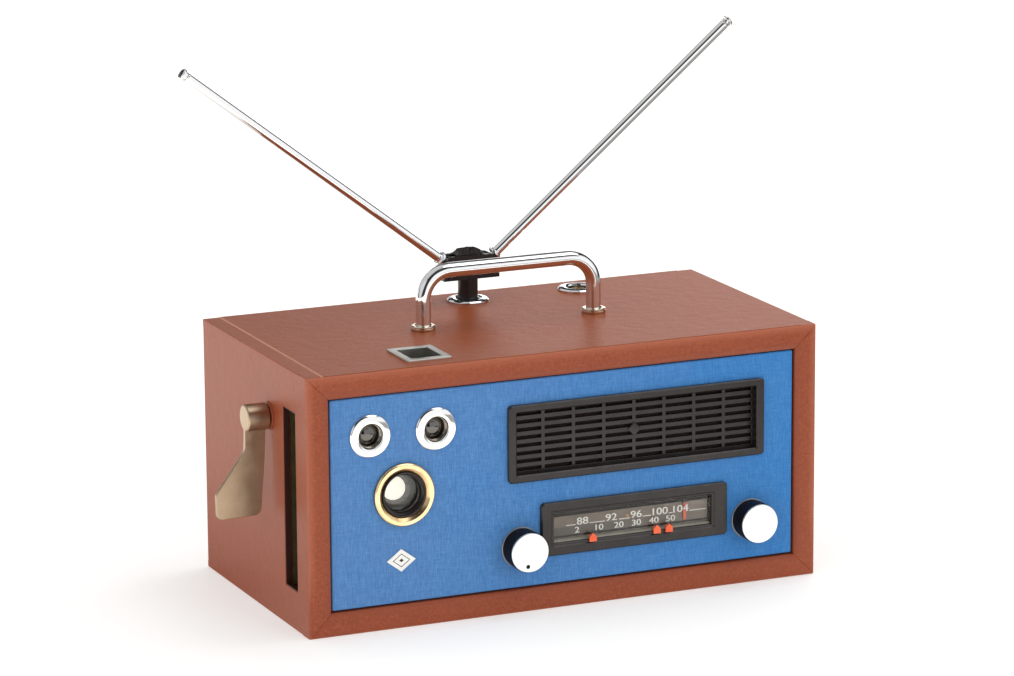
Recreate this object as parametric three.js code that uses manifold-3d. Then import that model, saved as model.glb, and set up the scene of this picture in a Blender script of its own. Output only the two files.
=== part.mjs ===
// A portable cabinet radio: a board case with a recessed front panel, a loudspeaker grille, a tuning
// dial with two knobs, three lenses, a carry handle, a side lever and a two-rod telescopic aerial.
//
// Millimetres. +Z is up, the front faces -Y, and +X is on the right of someone facing the front.
// The origin is the centre of the case's flat underside.

import * as THREE from 'three';
import { mergeVertices } from 'three/addons/utils/BufferGeometryUtils.js';
import Module from 'manifold-3d';

const wasm = await Module();
wasm.setup();

// ---------------------------------------------------------------- driving dimensions

const GAP = 0.3; // clearance between pieces that rest on or pass through each other
const ROUND = 24; // facets round a visible turned piece
const SMALL_ROUND = 14; // facets round a thin shaft, tube or hidden hole

const CASE = { width: 375, depth: 195, height: 178, board: 5 };
const FRAME = { border: 16, depth: 12 };
const PANEL = { recess: 2, thickness: 6, margin: 1.2 };
const BACK = { recess: 3, thickness: 4, vents: 12, ventPitch: 9, ventWidth: 3.5, ventHeight: 50 };

const HALF_WIDTH = CASE.width / 2;
const TOP = CASE.height;
const FRONT = -CASE.depth / 2;
const REAR = CASE.depth / 2;
const PANEL_FACE = FRONT + PANEL.recess;
const BOARDS_FRONT = FRONT + FRAME.depth + GAP;
const INNER_X = HALF_WIDTH - CASE.board;

// Every piece on the front panel is drawn at (x, z), with heights counted outwards from the panel.
const EYELET = { flange: 14.6, barrel: 9.6, bore: 8.3, hole: 10, length: 9, edge: 0.8, crown: 2.2 };
const FINDERS = { left: -142, right: -95, z: 134, lensRadius: 7.9 };
const LENS = {
  x: -118.5, z: 91.7, ringRadius: 21.6, opening: 15.7, rise: 3, length: 40, glassRadius: 12.2,
};
const BADGE = { x: -121, z: 46.7, halfWidth: 10.4, halfHeight: 7.8, thickness: 0.6 };

const GRILLE = { x: 52.2, z: 117.2, width: 190.8, height: 53.6, openWidth: 179.2, openHeight: 43.3 };
const GRILLE_RISE = 3;
const LATTICE = {
  columns: 8, columnPitch: 22.5, rows: 8, rowPitch: 5.45, slotWidth: 20, slotHeight: 2.5,
};
const LATTICE_DEPTH = { front: -3.9, back: -5.9 };
const BOSS_RADIUS = 3.8;
const SPEAKER = {
  halfWidth: 86, halfHeight: 28.8, depth: 32, neck: 20, magnetRadius: 22, magnetDepth: 16,
};

const DIAL = { x: 50, z: 55.45, width: 139.1, height: 37.1, rise: 3 };
const WINDOW = { x: 48.85, z: 55.6, width: 118.1, height: 20.8 };
const SCALE = { top: 61.7, bottom: 47.1, front: -4.4, back: -5.2 };
const POINTER = { x: 89.9, width: 1.8, bottom: 49.6, top: 62.6 };
const MARKER = { width: 5.2, bottom: 44.1, shoulder: 47.5, top: 49.9, thickness: 1.2 };
const MARKER_X = [17.9, 65.8, 74.9];

const KNOB = { z: 45.2, volumeX: -33.8, tuningX: 138.3, radius: 13.9, height: 16, cap: 1.2 };
const SHAFT = { radius: 3, bore: 3.3, bushing: 4.4, panelHole: 4.9 };
const DRUM = { x: 90, z: 48, radius: 34, width: 6, front: -80, axle: 4 };

const BOARD = { x: [-150, 40], y: [-40, 72], z: 14, thickness: 1.6, post: 6 };
const BATTERY = { x: [60, 165], y: [10, 82], z: [8, 40], wall: 3, proud: 6 };

const SLOT = { front: -76.5, rear: -54.2, bottom: 27.3, top: 150, depth: 22, sheet: 1.2 };
const LEVER = { y: -28, z: 137.5, radius: 9.25, outer: -205, inner: -189.6, blade: 3, tang: 4.8 };

const HOOD = { x: -93.8, y: -65.2, width: 32.3, length: 37.5, border: 5, wall: 1.5, bottom: 150 };
const HANDLE = { x: 0.75, y: 0.5, span: 128, rise: 40.3, radius: 5.1, bend: 19.5 };
const COLLAR = { radius: 8.3, height: 3.4, bore: 5.5 };

const AERIAL = { x: 0.5, y: 71.5, post: 7.05, postFoot: 148 };
const SOCKET_X = 85.5;
const HEAD = { bottom: 194.5, pivotZ: 204.1, pivotX: 13.75, arch: 7.3, depth: 15, slot: 8.6, bore: 2.6 };
const HEAD_CAP = { halfLength: 10.6, halfDepth: 5.6, height: 4.6 };
const ROD = { length: 247, outer: 3.35, middle: 2.7, tip: 2.1, wall: 0.35, cap: 4.15, foot: 10.9 };
const ROD_ELEVATION = { left: 37.7, right: 39.9 }; // degrees above the horizontal

// ---------------------------------------------------------------- finishes

const finish = (color, roughness, metalness = 0) =>
  new THREE.MeshStandardMaterial({ color, roughness, metalness, flatShading: true });

const LEATHERETTE = finish(0xa05a46, 0.6);
const BLUE_LINEN = finish(0x4a84c4, 0.85);
const CHROME = finish(0xd8dadd, 0.12, 1);
const SATIN_STEEL = finish(0xa8a49a, 0.35, 1);
const NICKEL_BRONZE = finish(0x87765c, 0.4, 1);
const ALUMINIUM = finish(0xe4e5e6, 0.3, 1);
const BRASS = finish(0xc79a52, 0.3, 1);
const BLACK_PLASTIC = finish(0x2c2a2a, 0.45);
const GLASS = finish(0x6c7478, 0.05);
const CLEAR_PLASTIC = finish(0xcfd6d8, 0.08);
const SCALE_PRINT = finish(0x4d4c48, 0.6);
const ORANGE = finish(0xf0603a, 0.5);
const IVORY = finish(0xe6e2d6, 0.5);
const CLOTH = finish(0x1d1c1c, 0.95);
const PAPER = finish(0x3a3733, 0.9);
const STEEL = finish(0x8d9092, 0.45, 1);
const BOARD_LAMINATE = finish(0x7a6a3c, 0.7);
const DARK_STEEL = finish(0x1f1c18, 0.5);
const BATTERY_WRAP = finish(0x3c5a78, 0.5);

// ---------------------------------------------------------------- geometry helpers

// Merges shared corners, drops empty triangles and turns every face outwards.
function closed(geometry) {
  const bare = geometry.clone();
  bare.deleteAttribute('normal');
  bare.deleteAttribute('uv');
  const merged = mergeVertices(bare, 1e-4);
  const position = merged.attributes.position;
  const corner = [0, 1, 2].map(() => new THREE.Vector3());
  const index = [];
  let volume = 0;
  for (let i = 0; i < merged.index.count; i += 3) {
    const triangle = [0, 1, 2].map((k) => merged.index.getX(i + k));
    if (new Set(triangle).size < 3) continue;
    index.push(...triangle);
    triangle.forEach((vertex, k) => corner[k].fromBufferAttribute(position, vertex));
    volume += corner[0].dot(corner[1].clone().cross(corner[2]));
  }
  if (volume < 0) index.reverse();
  const result = new THREE.BufferGeometry();
  result.setAttribute('position', position);
  result.setIndex(index);
  return result;
}

function toSolid(geometry) {
  const shell = closed(geometry);
  return new wasm.Manifold(new wasm.Mesh({
    numProp: 3,
    vertProperties: new Float32Array(shell.attributes.position.array),
    triVerts: new Uint32Array(shell.index.array),
  }));
}

function toGeometry(solid) {
  const mesh = solid.getMesh();
  const geometry = new THREE.BufferGeometry();
  geometry.setAttribute('position', new THREE.BufferAttribute(new Float32Array(mesh.vertProperties), 3));
  geometry.setIndex(Array.from(mesh.triVerts));
  return geometry;
}

function joined(...geometries) {
  return toGeometry(geometries.map(toSolid).reduce((sum, solid) => sum.add(solid)));
}

function cut(geometry, ...tools) {
  return toGeometry(tools.map(toSolid).reduce((rest, tool) => rest.subtract(tool), toSolid(geometry)));
}

function block([x0, x1], [y0, y1], [z0, z1]) {
  const geometry = new THREE.BoxGeometry(x1 - x0, y1 - y0, z1 - z0);
  return geometry.translate((x0 + x1) / 2, (y0 + y1) / 2, (z0 + z1) / 2);
}

const around = (centre, size) => [centre - size / 2, centre + size / 2];

// A turned piece about +Z. The profile is [radius, height] points: it starts and ends on the axis,
// or it closes on itself round a hole.
function turned(profile, facets = ROUND) {
  const points = profile.map(([radius, height]) => new THREE.Vector2(radius, height));
  if (profile[0][0] > 0) points.push(points[0].clone());
  return new THREE.LatheGeometry(points, facets).rotateX(Math.PI / 2);
}

// Stands a +Z piece on the front panel, facing the viewer.
function onPanel(geometry, x, z) {
  return geometry.rotateX(Math.PI / 2).translate(x, PANEL_FACE, z);
}

// A ring of oval sections about the Y axis: each station is [half width, half height, y].
function ovalRing(stations, x, z, facets = ROUND) {
  const rows = [...stations, stations[0]];
  const positions = [];
  const index = [];
  for (const [halfWidth, halfHeight, y] of rows) {
    for (let k = 0; k < facets; k += 1) {
      const angle = (2 * Math.PI * k) / facets;
      positions.push(x + halfWidth * Math.cos(angle), y, z + halfHeight * Math.sin(angle));
    }
  }
  for (let row = 0; row < rows.length - 1; row += 1) {
    for (let k = 0; k < facets; k += 1) {
      const a = row * facets + k;
      const b = row * facets + ((k + 1) % facets);
      index.push(a, b, a + facets, b, b + facets, a + facets);
    }
  }
  const geometry = new THREE.BufferGeometry();
  geometry.setAttribute('position', new THREE.Float32BufferAttribute(positions, 3));
  geometry.setIndex(index);
  return geometry;
}

function rectangle([u0, u1], [v0, v1]) {
  return polygon([[u0, v0], [u1, v0], [u1, v1], [u0, v1]]);
}

function roundedRectangle([u0, u1], [v0, v1], radius) {
  const shape = new THREE.Shape();
  shape.absarc(u1 - radius, v0 + radius, radius, -Math.PI / 2, 0);
  shape.absarc(u1 - radius, v1 - radius, radius, 0, Math.PI / 2);
  shape.absarc(u0 + radius, v1 - radius, radius, Math.PI / 2, Math.PI);
  shape.absarc(u0 + radius, v0 + radius, radius, Math.PI, 1.5 * Math.PI);
  shape.closePath();
  return shape;
}

const circle = (u, v, radius) => new THREE.Path().absarc(u, v, radius, 0, 2 * Math.PI);

function polygon(points) {
  return new THREE.Shape(points.map(([u, v]) => new THREE.Vector2(u, v)));
}

function withHoles(shape, ...holes) {
  shape.holes.push(...holes);
  return shape;
}

// Extrudes a shape along x, y or z between two stations. Its two axes are (y, z), (x, z) or (x, y).
function prism(shape, axis, [from, to], curveSegments = 4) {
  const options = { depth: to - from, bevelEnabled: false, curveSegments };
  const geometry = new THREE.ExtrudeGeometry(shape, options);
  const X = new THREE.Vector3(1, 0, 0);
  const Y = new THREE.Vector3(0, 1, 0);
  const Z = new THREE.Vector3(0, 0, 1);
  const turn = new THREE.Matrix4();
  if (axis === 'x') turn.makeBasis(Y, Z, X).setPosition(from, 0, 0);
  if (axis === 'y') turn.makeBasis(X, Z, Y.clone().negate()).setPosition(0, to, 0);
  if (axis === 'z') turn.setPosition(0, 0, from);
  return geometry.applyMatrix4(turn);
}

// A layer parallel to the front panel, between two heights counted outwards from its face.
const layer = (shape, [low, high], segments) =>
  prism(shape, 'y', [PANEL_FACE - high, PANEL_FACE - low], segments);

const radio = new THREE.Group();

function part(name, geometry, material, parent = radio) {
  const mesh = new THREE.Mesh(closed(geometry), material);
  mesh.name = name;
  parent.add(mesh);
  return mesh;
}

// ---------------------------------------------------------------- case

function makeCase() {
  const width = [-HALF_WIDTH, HALF_WIDTH];
  const height = [0, CASE.height];
  const sideHeight = [CASE.board + GAP, CASE.height - CASE.board - GAP];
  const depth = [BOARDS_FRONT, REAR];

  const opening = rectangle(
    [-HALF_WIDTH + FRAME.border, HALF_WIDTH - FRAME.border],
    [FRAME.border, CASE.height - FRAME.border],
  );
  const frame = withHoles(rectangle(width, height), opening);
  part('front_frame', prism(frame, 'y', [FRONT, FRONT + FRAME.depth]), LEATHERETTE);

  const hoodHole = rectangle(
    around(HOOD.x, HOOD.width - 2 * HOOD.border + 2 * HOOD.wall + 2 * GAP),
    around(HOOD.y, HOOD.length - 2 * HOOD.border + 2 * HOOD.wall + 2 * GAP),
  );
  const topHoles = [AERIAL.x, SOCKET_X].map((x) => circle(x, AERIAL.y, EYELET.hole));
  const topBoard = withHoles(rectangle(width, depth), hoodHole, ...topHoles);
  part('cabinet_top', prism(topBoard, 'z', [TOP - CASE.board, TOP], 7), LEATHERETTE);
  part('cabinet_bottom', block(width, depth, [0, CASE.board]), LEATHERETTE);

  const slotHole = rectangle([SLOT.front, SLOT.rear], [SLOT.bottom, SLOT.top]);
  const leverHole = circle(LEVER.y, LEVER.z, SHAFT.bore + GAP);
  const leftBoard = withHoles(rectangle(depth, sideHeight), slotHole, leverHole);
  part('cabinet_left_side', prism(leftBoard, 'x', [-HALF_WIDTH, -INNER_X]), LEATHERETTE);
  part('cabinet_right_side', block([INNER_X, HALF_WIDTH], depth, sideHeight), LEATHERETTE);

  const rear = REAR - BACK.recess;
  const vents = Array.from({ length: BACK.vents }, (_, k) => {
    const x = GRILLE.x + (k - (BACK.vents - 1) / 2) * BACK.ventPitch;
    return block(around(x, BACK.ventWidth), around(rear, 20), around(GRILLE.z, BACK.ventHeight));
  });
  const back = block([-INNER_X + GAP, INNER_X - GAP], [rear - BACK.thickness, rear], sideHeight);
  part('back_cover', cut(back, ...vents), LEATHERETTE);
}

function makeFrontPanel() {
  const edge = FRAME.border + PANEL.margin;
  const board = rectangle([-HALF_WIDTH + edge, HALF_WIDTH - edge], [edge, CASE.height - edge]);
  const holes = [
    circle(FINDERS.left, FINDERS.z, EYELET.hole),
    circle(FINDERS.right, FINDERS.z, EYELET.hole),
    circle(LENS.x, LENS.z, LENS.opening + GAP),
    circle(KNOB.volumeX, KNOB.z, SHAFT.panelHole),
    circle(KNOB.tuningX, KNOB.z, SHAFT.panelHole),
    rectangle(around(GRILLE.x, GRILLE.openWidth + 7), around(GRILLE.z, GRILLE.openHeight + 6)),
    rectangle(around(WINDOW.x, WINDOW.width + 8), around(WINDOW.z, WINDOW.height + 8)),
  ];
  part('front_panel', layer(withHoles(board, ...holes), [-PANEL.thickness, 0], 7), BLUE_LINEN);

  const badge = polygon([
    [BADGE.x - BADGE.halfWidth, BADGE.z],
    [BADGE.x, BADGE.z - BADGE.halfHeight],
    [BADGE.x + BADGE.halfWidth, BADGE.z],
    [BADGE.x, BADGE.z + BADGE.halfHeight],
  ]);
  part('badge_plate', layer(badge, [GAP, GAP + BADGE.thickness]), IVORY);
}

// ---------------------------------------------------------------- lenses and finder

const eyelet = () => turned([
  [EYELET.bore, -EYELET.length],
  [EYELET.barrel, -EYELET.length],
  [EYELET.barrel, GAP],
  [EYELET.flange, GAP],
  [EYELET.flange, EYELET.edge],
  [EYELET.flange - 2, EYELET.crown - 0.4],
  [EYELET.flange - 4.5, EYELET.crown],
  [EYELET.bore, EYELET.edge],
]);

function makeFinderLenses() {
  const radius = FINDERS.lensRadius;
  for (const side of ['left', 'right']) {
    part(`finder_eyelet_${side}`, onPanel(eyelet(), FINDERS[side], FINDERS.z), CHROME);
    const glass = turned([[0, -6.5], [radius, -6.5], [radius, -4.5], [0.7 * radius, -3.2], [0, -2.4]], 20);
    part(`finder_lens_${side}`, onPanel(glass, FINDERS[side], FINDERS.z), GLASS);
  }
}

function makeMainLens() {
  const { ringRadius, opening, rise, length, glassRadius } = LENS;
  const ring = turned([
    [opening, GAP],
    [ringRadius, GAP],
    [ringRadius, rise - 1.2],
    [ringRadius - 1.2, rise],
    [opening + 1.5, rise + 0.2],
    [opening, rise - 0.6],
  ]);
  part('brass_lens_ring', onPanel(ring, LENS.x, LENS.z), BRASS);

  const outer = opening - GAP;
  const inner = glassRadius + GAP;
  const barrel = turned([
    [inner, -length], [outer, -length], [outer, 1.6], [outer - 1.2, 1.6], [inner, -2],
  ]);
  part('lens_barrel', onPanel(barrel, LENS.x, LENS.z), BLACK_PLASTIC);

  const glass = turned([
    [0, -11],
    [glassRadius, -11],
    [glassRadius, -8],
    [0.75 * glassRadius, -5.2],
    [0.4 * glassRadius, -3.9],
    [0, -3.4],
  ]);
  part('lens_glass', onPanel(glass, LENS.x, LENS.z), GLASS);
}

// A flanged rectangular tube let into the top, open at both ends.
function makeFinderHood() {
  const innerX = HOOD.width - 2 * HOOD.border;
  const innerY = HOOD.length - 2 * HOOD.border;
  const bore = () => rectangle(around(HOOD.x, innerX), around(HOOD.y, innerY));
  const plate = roundedRectangle(around(HOOD.x, HOOD.width), around(HOOD.y, HOOD.length), 1);
  const flange = withHoles(plate, bore());
  const wall = withHoles(
    rectangle(around(HOOD.x, innerX + 2 * HOOD.wall), around(HOOD.y, innerY + 2 * HOOD.wall)),
    bore(),
  );
  const hood = joined(
    prism(flange, 'z', [TOP + GAP, TOP + GAP + 1]),
    prism(wall, 'z', [HOOD.bottom, TOP + GAP + 0.5]),
  );
  part('finder_hood', hood, SATIN_STEEL);
}

// ---------------------------------------------------------------- loudspeaker

function makeSpeakerGrille() {
  const { x, z, width, height, openWidth, openHeight } = GRILLE;
  const opening = () => rectangle(around(x, openWidth), around(z, openHeight));
  const bezel = withHoles(roundedRectangle(around(x, width), around(z, height), 2.5), opening());
  const skirt = withHoles(rectangle(around(x, openWidth + 6), around(z, openHeight + 5)), opening());
  const latticeDepth = [PANEL_FACE - LATTICE_DEPTH.front, PANEL_FACE - LATTICE_DEPTH.back];
  const { columns, columnPitch, rows, rowPitch, slotWidth, slotHeight } = LATTICE;
  const slots = [];
  for (let column = 0; column < columns; column += 1) {
    for (let row = 0; row < rows; row += 1) {
      const slotX = x + (column - (columns - 1) / 2) * columnPitch;
      const slotZ = z + (row - (rows - 1) / 2) * rowPitch;
      slots.push(block(around(slotX, slotWidth), around(PANEL_FACE, 20), around(slotZ, slotHeight)));
    }
  }
  const lattice = cut(block(around(x, openWidth + 1), latticeDepth, around(z, openHeight + 1)), ...slots);
  const boss = new THREE.Shape().absarc(x, z, BOSS_RADIUS, 0, 2 * Math.PI);
  const grille = joined(
    layer(bezel, [GAP, GRILLE_RISE]),
    layer(skirt, [LATTICE_DEPTH.back - 1, GRILLE_RISE / 2]),
    lattice,
    layer(boss, [LATTICE_DEPTH.back, LATTICE_DEPTH.front + 0.6]),
  );
  part('speaker_grille', grille, BLACK_PLASTIC);

  const cloth = rectangle(around(x, openWidth + 4), around(z, openHeight + 4));
  const clothFront = LATTICE_DEPTH.back - 1 - GAP;
  part('grille_cloth', layer(cloth, [clothFront - 0.6, clothFront]), CLOTH);
}

// An oval loudspeaker: a flanged basket, a paper cone inside it and a magnet behind.
function makeSpeaker() {
  const { halfWidth, halfHeight, depth, neck, magnetRadius, magnetDepth } = SPEAKER;
  const front = PANEL_FACE - LATTICE_DEPTH.back + 3;
  const rear = front + depth;
  const basket = ovalRing([
    [halfWidth - 8, halfHeight - 5, front],
    [halfWidth, halfHeight, front],
    [halfWidth, halfHeight, front + 1.5],
    [halfWidth - 7, halfHeight - 4, front + 1.5],
    [neck, neck, rear],
    [neck / 2, neck / 2, rear],
    [neck / 2, neck / 2, rear - 1.5],
    [neck - 1.5, neck - 1.5, rear - 1.5],
    [halfWidth - 8.5, halfHeight - 5.5, front + 1.5],
  ], GRILLE.x, GRILLE.z);
  part('speaker_basket', basket, STEEL);

  const cone = ovalRing([
    [halfWidth - 9, halfHeight - 6, front + 0.4],
    [halfWidth - 9.5, halfHeight - 6.5, front + 1.2],
    [neck / 2, neck / 2, front + 0.6 * depth],
    [neck / 2 - 1, neck / 2 - 1, front + 0.6 * depth],
    [halfWidth - 16, halfHeight - 11, front + 0.4],
  ], GRILLE.x, GRILLE.z);
  part('speaker_cone', cone, PAPER);

  const magnet = turned([[0, 0], [magnetRadius, 0], [magnetRadius, magnetDepth], [0, magnetDepth]], 20);
  const magnetFront = rear + GAP;
  magnet.rotateX(Math.PI / 2).translate(GRILLE.x, magnetFront + magnetDepth, GRILLE.z);
  part('speaker_magnet', magnet, STEEL);
}

// ---------------------------------------------------------------- dial

function makeDial() {
  const opening = () => rectangle(around(WINDOW.x, WINDOW.width), around(WINDOW.z, WINDOW.height));
  const face = roundedRectangle(around(DIAL.x, DIAL.width), around(DIAL.z, DIAL.height), 2.5);
  const bezel = withHoles(face, opening());
  const skirt = withHoles(
    rectangle(around(WINDOW.x, WINDOW.width + 6), around(WINDOW.z, WINDOW.height + 6)),
    opening(),
  );
  const sill = WINDOW.z - WINDOW.height / 2;
  const railFront = PANEL_FACE - DIAL.rise + 0.2;
  const railBack = PANEL_FACE - SCALE.front;
  const rail = polygon([
    [railFront, sill - 1],
    [railBack, sill - 1],
    [railBack, sill + 1.6],
    [railFront, sill],
  ]);
  const frame = joined(
    layer(bezel, [GAP, DIAL.rise]),
    layer(skirt, [SCALE.back - 0.8, DIAL.rise / 2]),
    prism(rail, 'x', around(WINDOW.x, WINDOW.width + 2)),
  );
  part('dial_bezel', frame, BLACK_PLASTIC);

  const paneHeight = [sill + 2.2, sill + WINDOW.height - GAP];
  const pane = rectangle(around(WINDOW.x, WINDOW.width - 2 * GAP), paneHeight);
  part('dial_window', layer(pane, [-1.3, -0.3]), CLEAR_PLASTIC);
  const scale = rectangle(around(WINDOW.x, WINDOW.width - 2 * GAP), [SCALE.bottom, SCALE.top]);
  part('dial_scale', layer(scale, [SCALE.back, SCALE.front]), SCALE_PRINT);

  // The pointer hangs in front of the scale from a carriage that runs behind the bezel's top edge.
  const { x: pointerX, bottom, top } = POINTER;
  const needleY = PANEL_FACE + 2.8;
  const carriageY = PANEL_FACE + 10.5;
  const pointer = joined(
    block(around(pointerX, POINTER.width), [needleY, needleY + 0.8], [bottom, top]),
    block(around(pointerX, 3), [needleY, carriageY + 1.5], [top - 0.5, top + 1]),
    block(around(pointerX, 8), [carriageY, carriageY + 3], [top - 4, top + 1.5]),
  );
  part('dial_pointer', pointer, ORANGE);

  MARKER_X.forEach((x, k) => {
    const flag = polygon([
      [x - MARKER.width / 2, MARKER.bottom],
      [x + MARKER.width / 2, MARKER.bottom],
      [x + MARKER.width / 2, MARKER.shoulder],
      [x, MARKER.top],
      [x - MARKER.width / 2, MARKER.shoulder],
    ]);
    const marker = joined(
      layer(flag, [DIAL.rise + GAP, DIAL.rise + GAP + MARKER.thickness]),
      block(around(x, 3), [PANEL_FACE - DIAL.rise - 1, PANEL_FACE - 0.4], [sill + 1.6, sill + 2.8]),
    );
    part(`station_marker_${k + 1}`, marker, ORANGE);
  });
}

// ---------------------------------------------------------------- knobs and what they turn

function makeKnob(name, x) {
  const bodyTop = KNOB.height - KNOB.cap - GAP;
  const body = turned([
    [0, bodyTop - 3.4],
    [SHAFT.bore, bodyTop - 3.4],
    [SHAFT.bore, 1.4],
    [KNOB.radius, 1.4],
    [KNOB.radius, bodyTop - 0.5],
    [KNOB.radius - 0.5, bodyTop],
    [0, bodyTop],
  ]);
  part(`${name}_knob`, onPanel(body, x, KNOB.z), BLACK_PLASTIC);

  const cap = turned([
    [0, KNOB.height - KNOB.cap],
    [KNOB.radius - 0.3, KNOB.height - KNOB.cap],
    [KNOB.radius - 0.3, KNOB.height - 0.3],
    [KNOB.radius - 0.7, KNOB.height],
    [0, KNOB.height],
  ]);
  part(`${name}_knob_cap`, onPanel(cap, x, KNOB.z), ALUMINIUM);

  const inner = name === 'volume' ? -14 : -22;
  const shaft = turned([
    [0, inner],
    [SHAFT.radius, inner],
    [SHAFT.radius, bodyTop - 3.7],
    [0, bodyTop - 3.7],
  ], SMALL_ROUND);
  part(`${name}_shaft`, onPanel(shaft, x, KNOB.z), STEEL);
}

// A round body behind the panel with a threaded bushing that comes through it.
function bushingBody(radius, depth) {
  return turned([
    [SHAFT.bore + 0.1, -depth],
    [radius, -depth],
    [radius, -PANEL.thickness - 0.6],
    [SHAFT.bushing, -PANEL.thickness - 0.6],
    [SHAFT.bushing, 0.9],
    [SHAFT.bore + 0.1, 0.9],
  ], 20);
}

function makeControls() {
  makeKnob('volume', KNOB.volumeX);
  makeKnob('tuning', KNOB.tuningX);
  part('volume_control', onPanel(bushingBody(11.5, 18), KNOB.volumeX, KNOB.z), STEEL);
  part('tuning_bearing', onPanel(bushingBody(7, 9), KNOB.tuningX, KNOB.z), STEEL);

  const { x, z, radius, width, front, axle } = DRUM;
  const drum = turned([
    [axle + GAP, 0],
    [9, 0],
    [9, 1.5],
    [radius - 4, 1.5],
    [radius - 4, 0],
    [radius, 0],
    [radius - 1.5, width / 2],
    [radius, width],
    [radius - 4, width],
    [radius - 4, width - 1.5],
    [axle + GAP, width - 1.5],
  ]);
  part('drive_drum', drum.rotateX(Math.PI / 2).translate(x, front + width, z), IVORY);

  const axleRod = turned([[0, 0], [axle, 0], [axle, 14], [0, 14]], SMALL_ROUND);
  axleRod.rotateX(Math.PI / 2).translate(x, front + 13, z);
  const tuner = joined(block([60, 165], [front + 10, front + 50], [22, 72]), axleRod);
  part('tuner_unit', tuner, STEEL);
}

// A board on four posts with its three tallest components, and a battery tray beside it.
function makeElectronics() {
  const { x, y, z, thickness, post } = BOARD;
  const posts = [x[0] + 10, x[1] - 10].flatMap((postX) =>
    [y[0] + 10, y[1] - 12].map((postY) =>
      block(around(postX, post), around(postY, post), [CASE.board + GAP, z + thickness / 2])));
  const components = [
    block([-120, -80], [10, 40], [z + 1, z + 28]),
    block([-60, -36], [-20, 4], [z + 1, z + 16]),
    block([-20, 14], [20, 56], [z + 1, z + 22]),
  ];
  const board = joined(block(x, y, [z, z + thickness]), ...posts, ...components);
  part('circuit_board', board, BOARD_LAMINATE);

  const { wall } = BATTERY;
  const inset = ([low, high], by) => [low + by, high - by];
  const wellHeight = [BATTERY.z[0] + wall, BATTERY.z[1] + 1];
  const well = block(inset(BATTERY.x, wall), inset(BATTERY.y, wall), wellHeight);
  part('battery_box', cut(block(BATTERY.x, BATTERY.y, BATTERY.z), well), BLACK_PLASTIC);
  const space = wall + GAP;
  const packZ = [BATTERY.z[0] + space, BATTERY.z[1] + BATTERY.proud];
  part('battery_pack', block(inset(BATTERY.x, space), inset(BATTERY.y, space), packZ), BATTERY_WRAP);
}

// ---------------------------------------------------------------- left side: slot and lever

function makeSlotChannel() {
  const mouth = -INNER_X + GAP;
  const end = mouth + SLOT.depth;
  const [front, rear] = [SLOT.front, SLOT.rear];
  const channel = polygon([
    [mouth, front - SLOT.sheet],
    [end, front - SLOT.sheet],
    [end, rear + SLOT.sheet],
    [mouth, rear + SLOT.sheet],
    [mouth, rear],
    [end - SLOT.sheet, rear],
    [end - SLOT.sheet, front],
    [mouth, front],
  ]);
  part('side_slot_channel', prism(channel, 'z', [SLOT.bottom - 1, SLOT.top + 1]), DARK_STEEL);
}

// Stands a +Z piece on the lever's axis with its height 0 at x, pointing out of the left side.
const onLeverAxis = (geometry, x) => geometry.rotateY(-Math.PI / 2).translate(x, LEVER.y, LEVER.z);

function makeLever() {
  const { y, z, radius, outer, inner, blade, tang } = LEVER;
  const length = inner - outer;
  const tangTop = z - radius + tang;
  const hub = onLeverAxis(turned([
    [0, -22],
    [SHAFT.radius, -22],
    [SHAFT.radius, 0],
    [radius - 0.4, 0],
    [radius, 0.4],
    [radius, length - 0.8],
    [radius - 0.8, length],
    [0, length],
  ]), inner);
  const slotWidth = around(y, blade + 2 * GAP);
  const bladeSlot = block([outer - 1, inner + 0.5], slotWidth, [z - radius - 1, tangTop + GAP]);
  part('lever_hub', cut(hub, bladeSlot), NICKEL_BRONZE);

  // The blade hangs from its tang in the hub and spreads outwards into a paddle.
  const paddle = new THREE.Shape();
  paddle.moveTo(outer, tangTop);
  paddle.lineTo(outer - 0.6, 115);
  paddle.quadraticCurveTo(outer - 1, 112.5, outer - 2.5, 110);
  paddle.lineTo(-223.8, 90.5);
  paddle.quadraticCurveTo(-226.6, 87, -226.4, 83);
  paddle.lineTo(-226.2, 73.5);
  paddle.quadraticCurveTo(-226, 69.6, -222, 69.5);
  paddle.lineTo(-199.5, 70.2);
  paddle.quadraticCurveTo(-195, 70.4, -194.6, 75);
  paddle.lineTo(-191.4, 110);
  paddle.lineTo(inner - 0.8, tangTop);
  part('lever_blade', prism(paddle, 'y', around(y, blade), 3), NICKEL_BRONZE);
}

// ---------------------------------------------------------------- handle

// The handle's centre line: two legs, two bends and a level top, drawn by distance along it.
class BowCurve extends THREE.Curve {
  getPoint(t, target = new THREE.Vector3()) {
    const { x, y, span, rise, bend } = HANDLE;
    const foot = TOP + GAP;
    const leg = TOP + rise - bend - foot;
    const arc = (Math.PI / 2) * bend;
    const flat = span - 2 * bend;
    const total = 2 * leg + 2 * arc + flat;
    const side = t < 0.5 ? -1 : 1;
    const along = Math.min(t, 1 - t) * total;
    if (along <= leg) return target.set(x + (side * span) / 2, y, foot + along);
    if (along <= leg + arc) {
      const angle = (along - leg) / bend;
      const reach = span / 2 - bend + bend * Math.cos(angle);
      return target.set(x + side * reach, y, foot + leg + bend * Math.sin(angle));
    }
    return target.set(x + side * (total / 2 - along), y, TOP + rise);
  }
}

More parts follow.
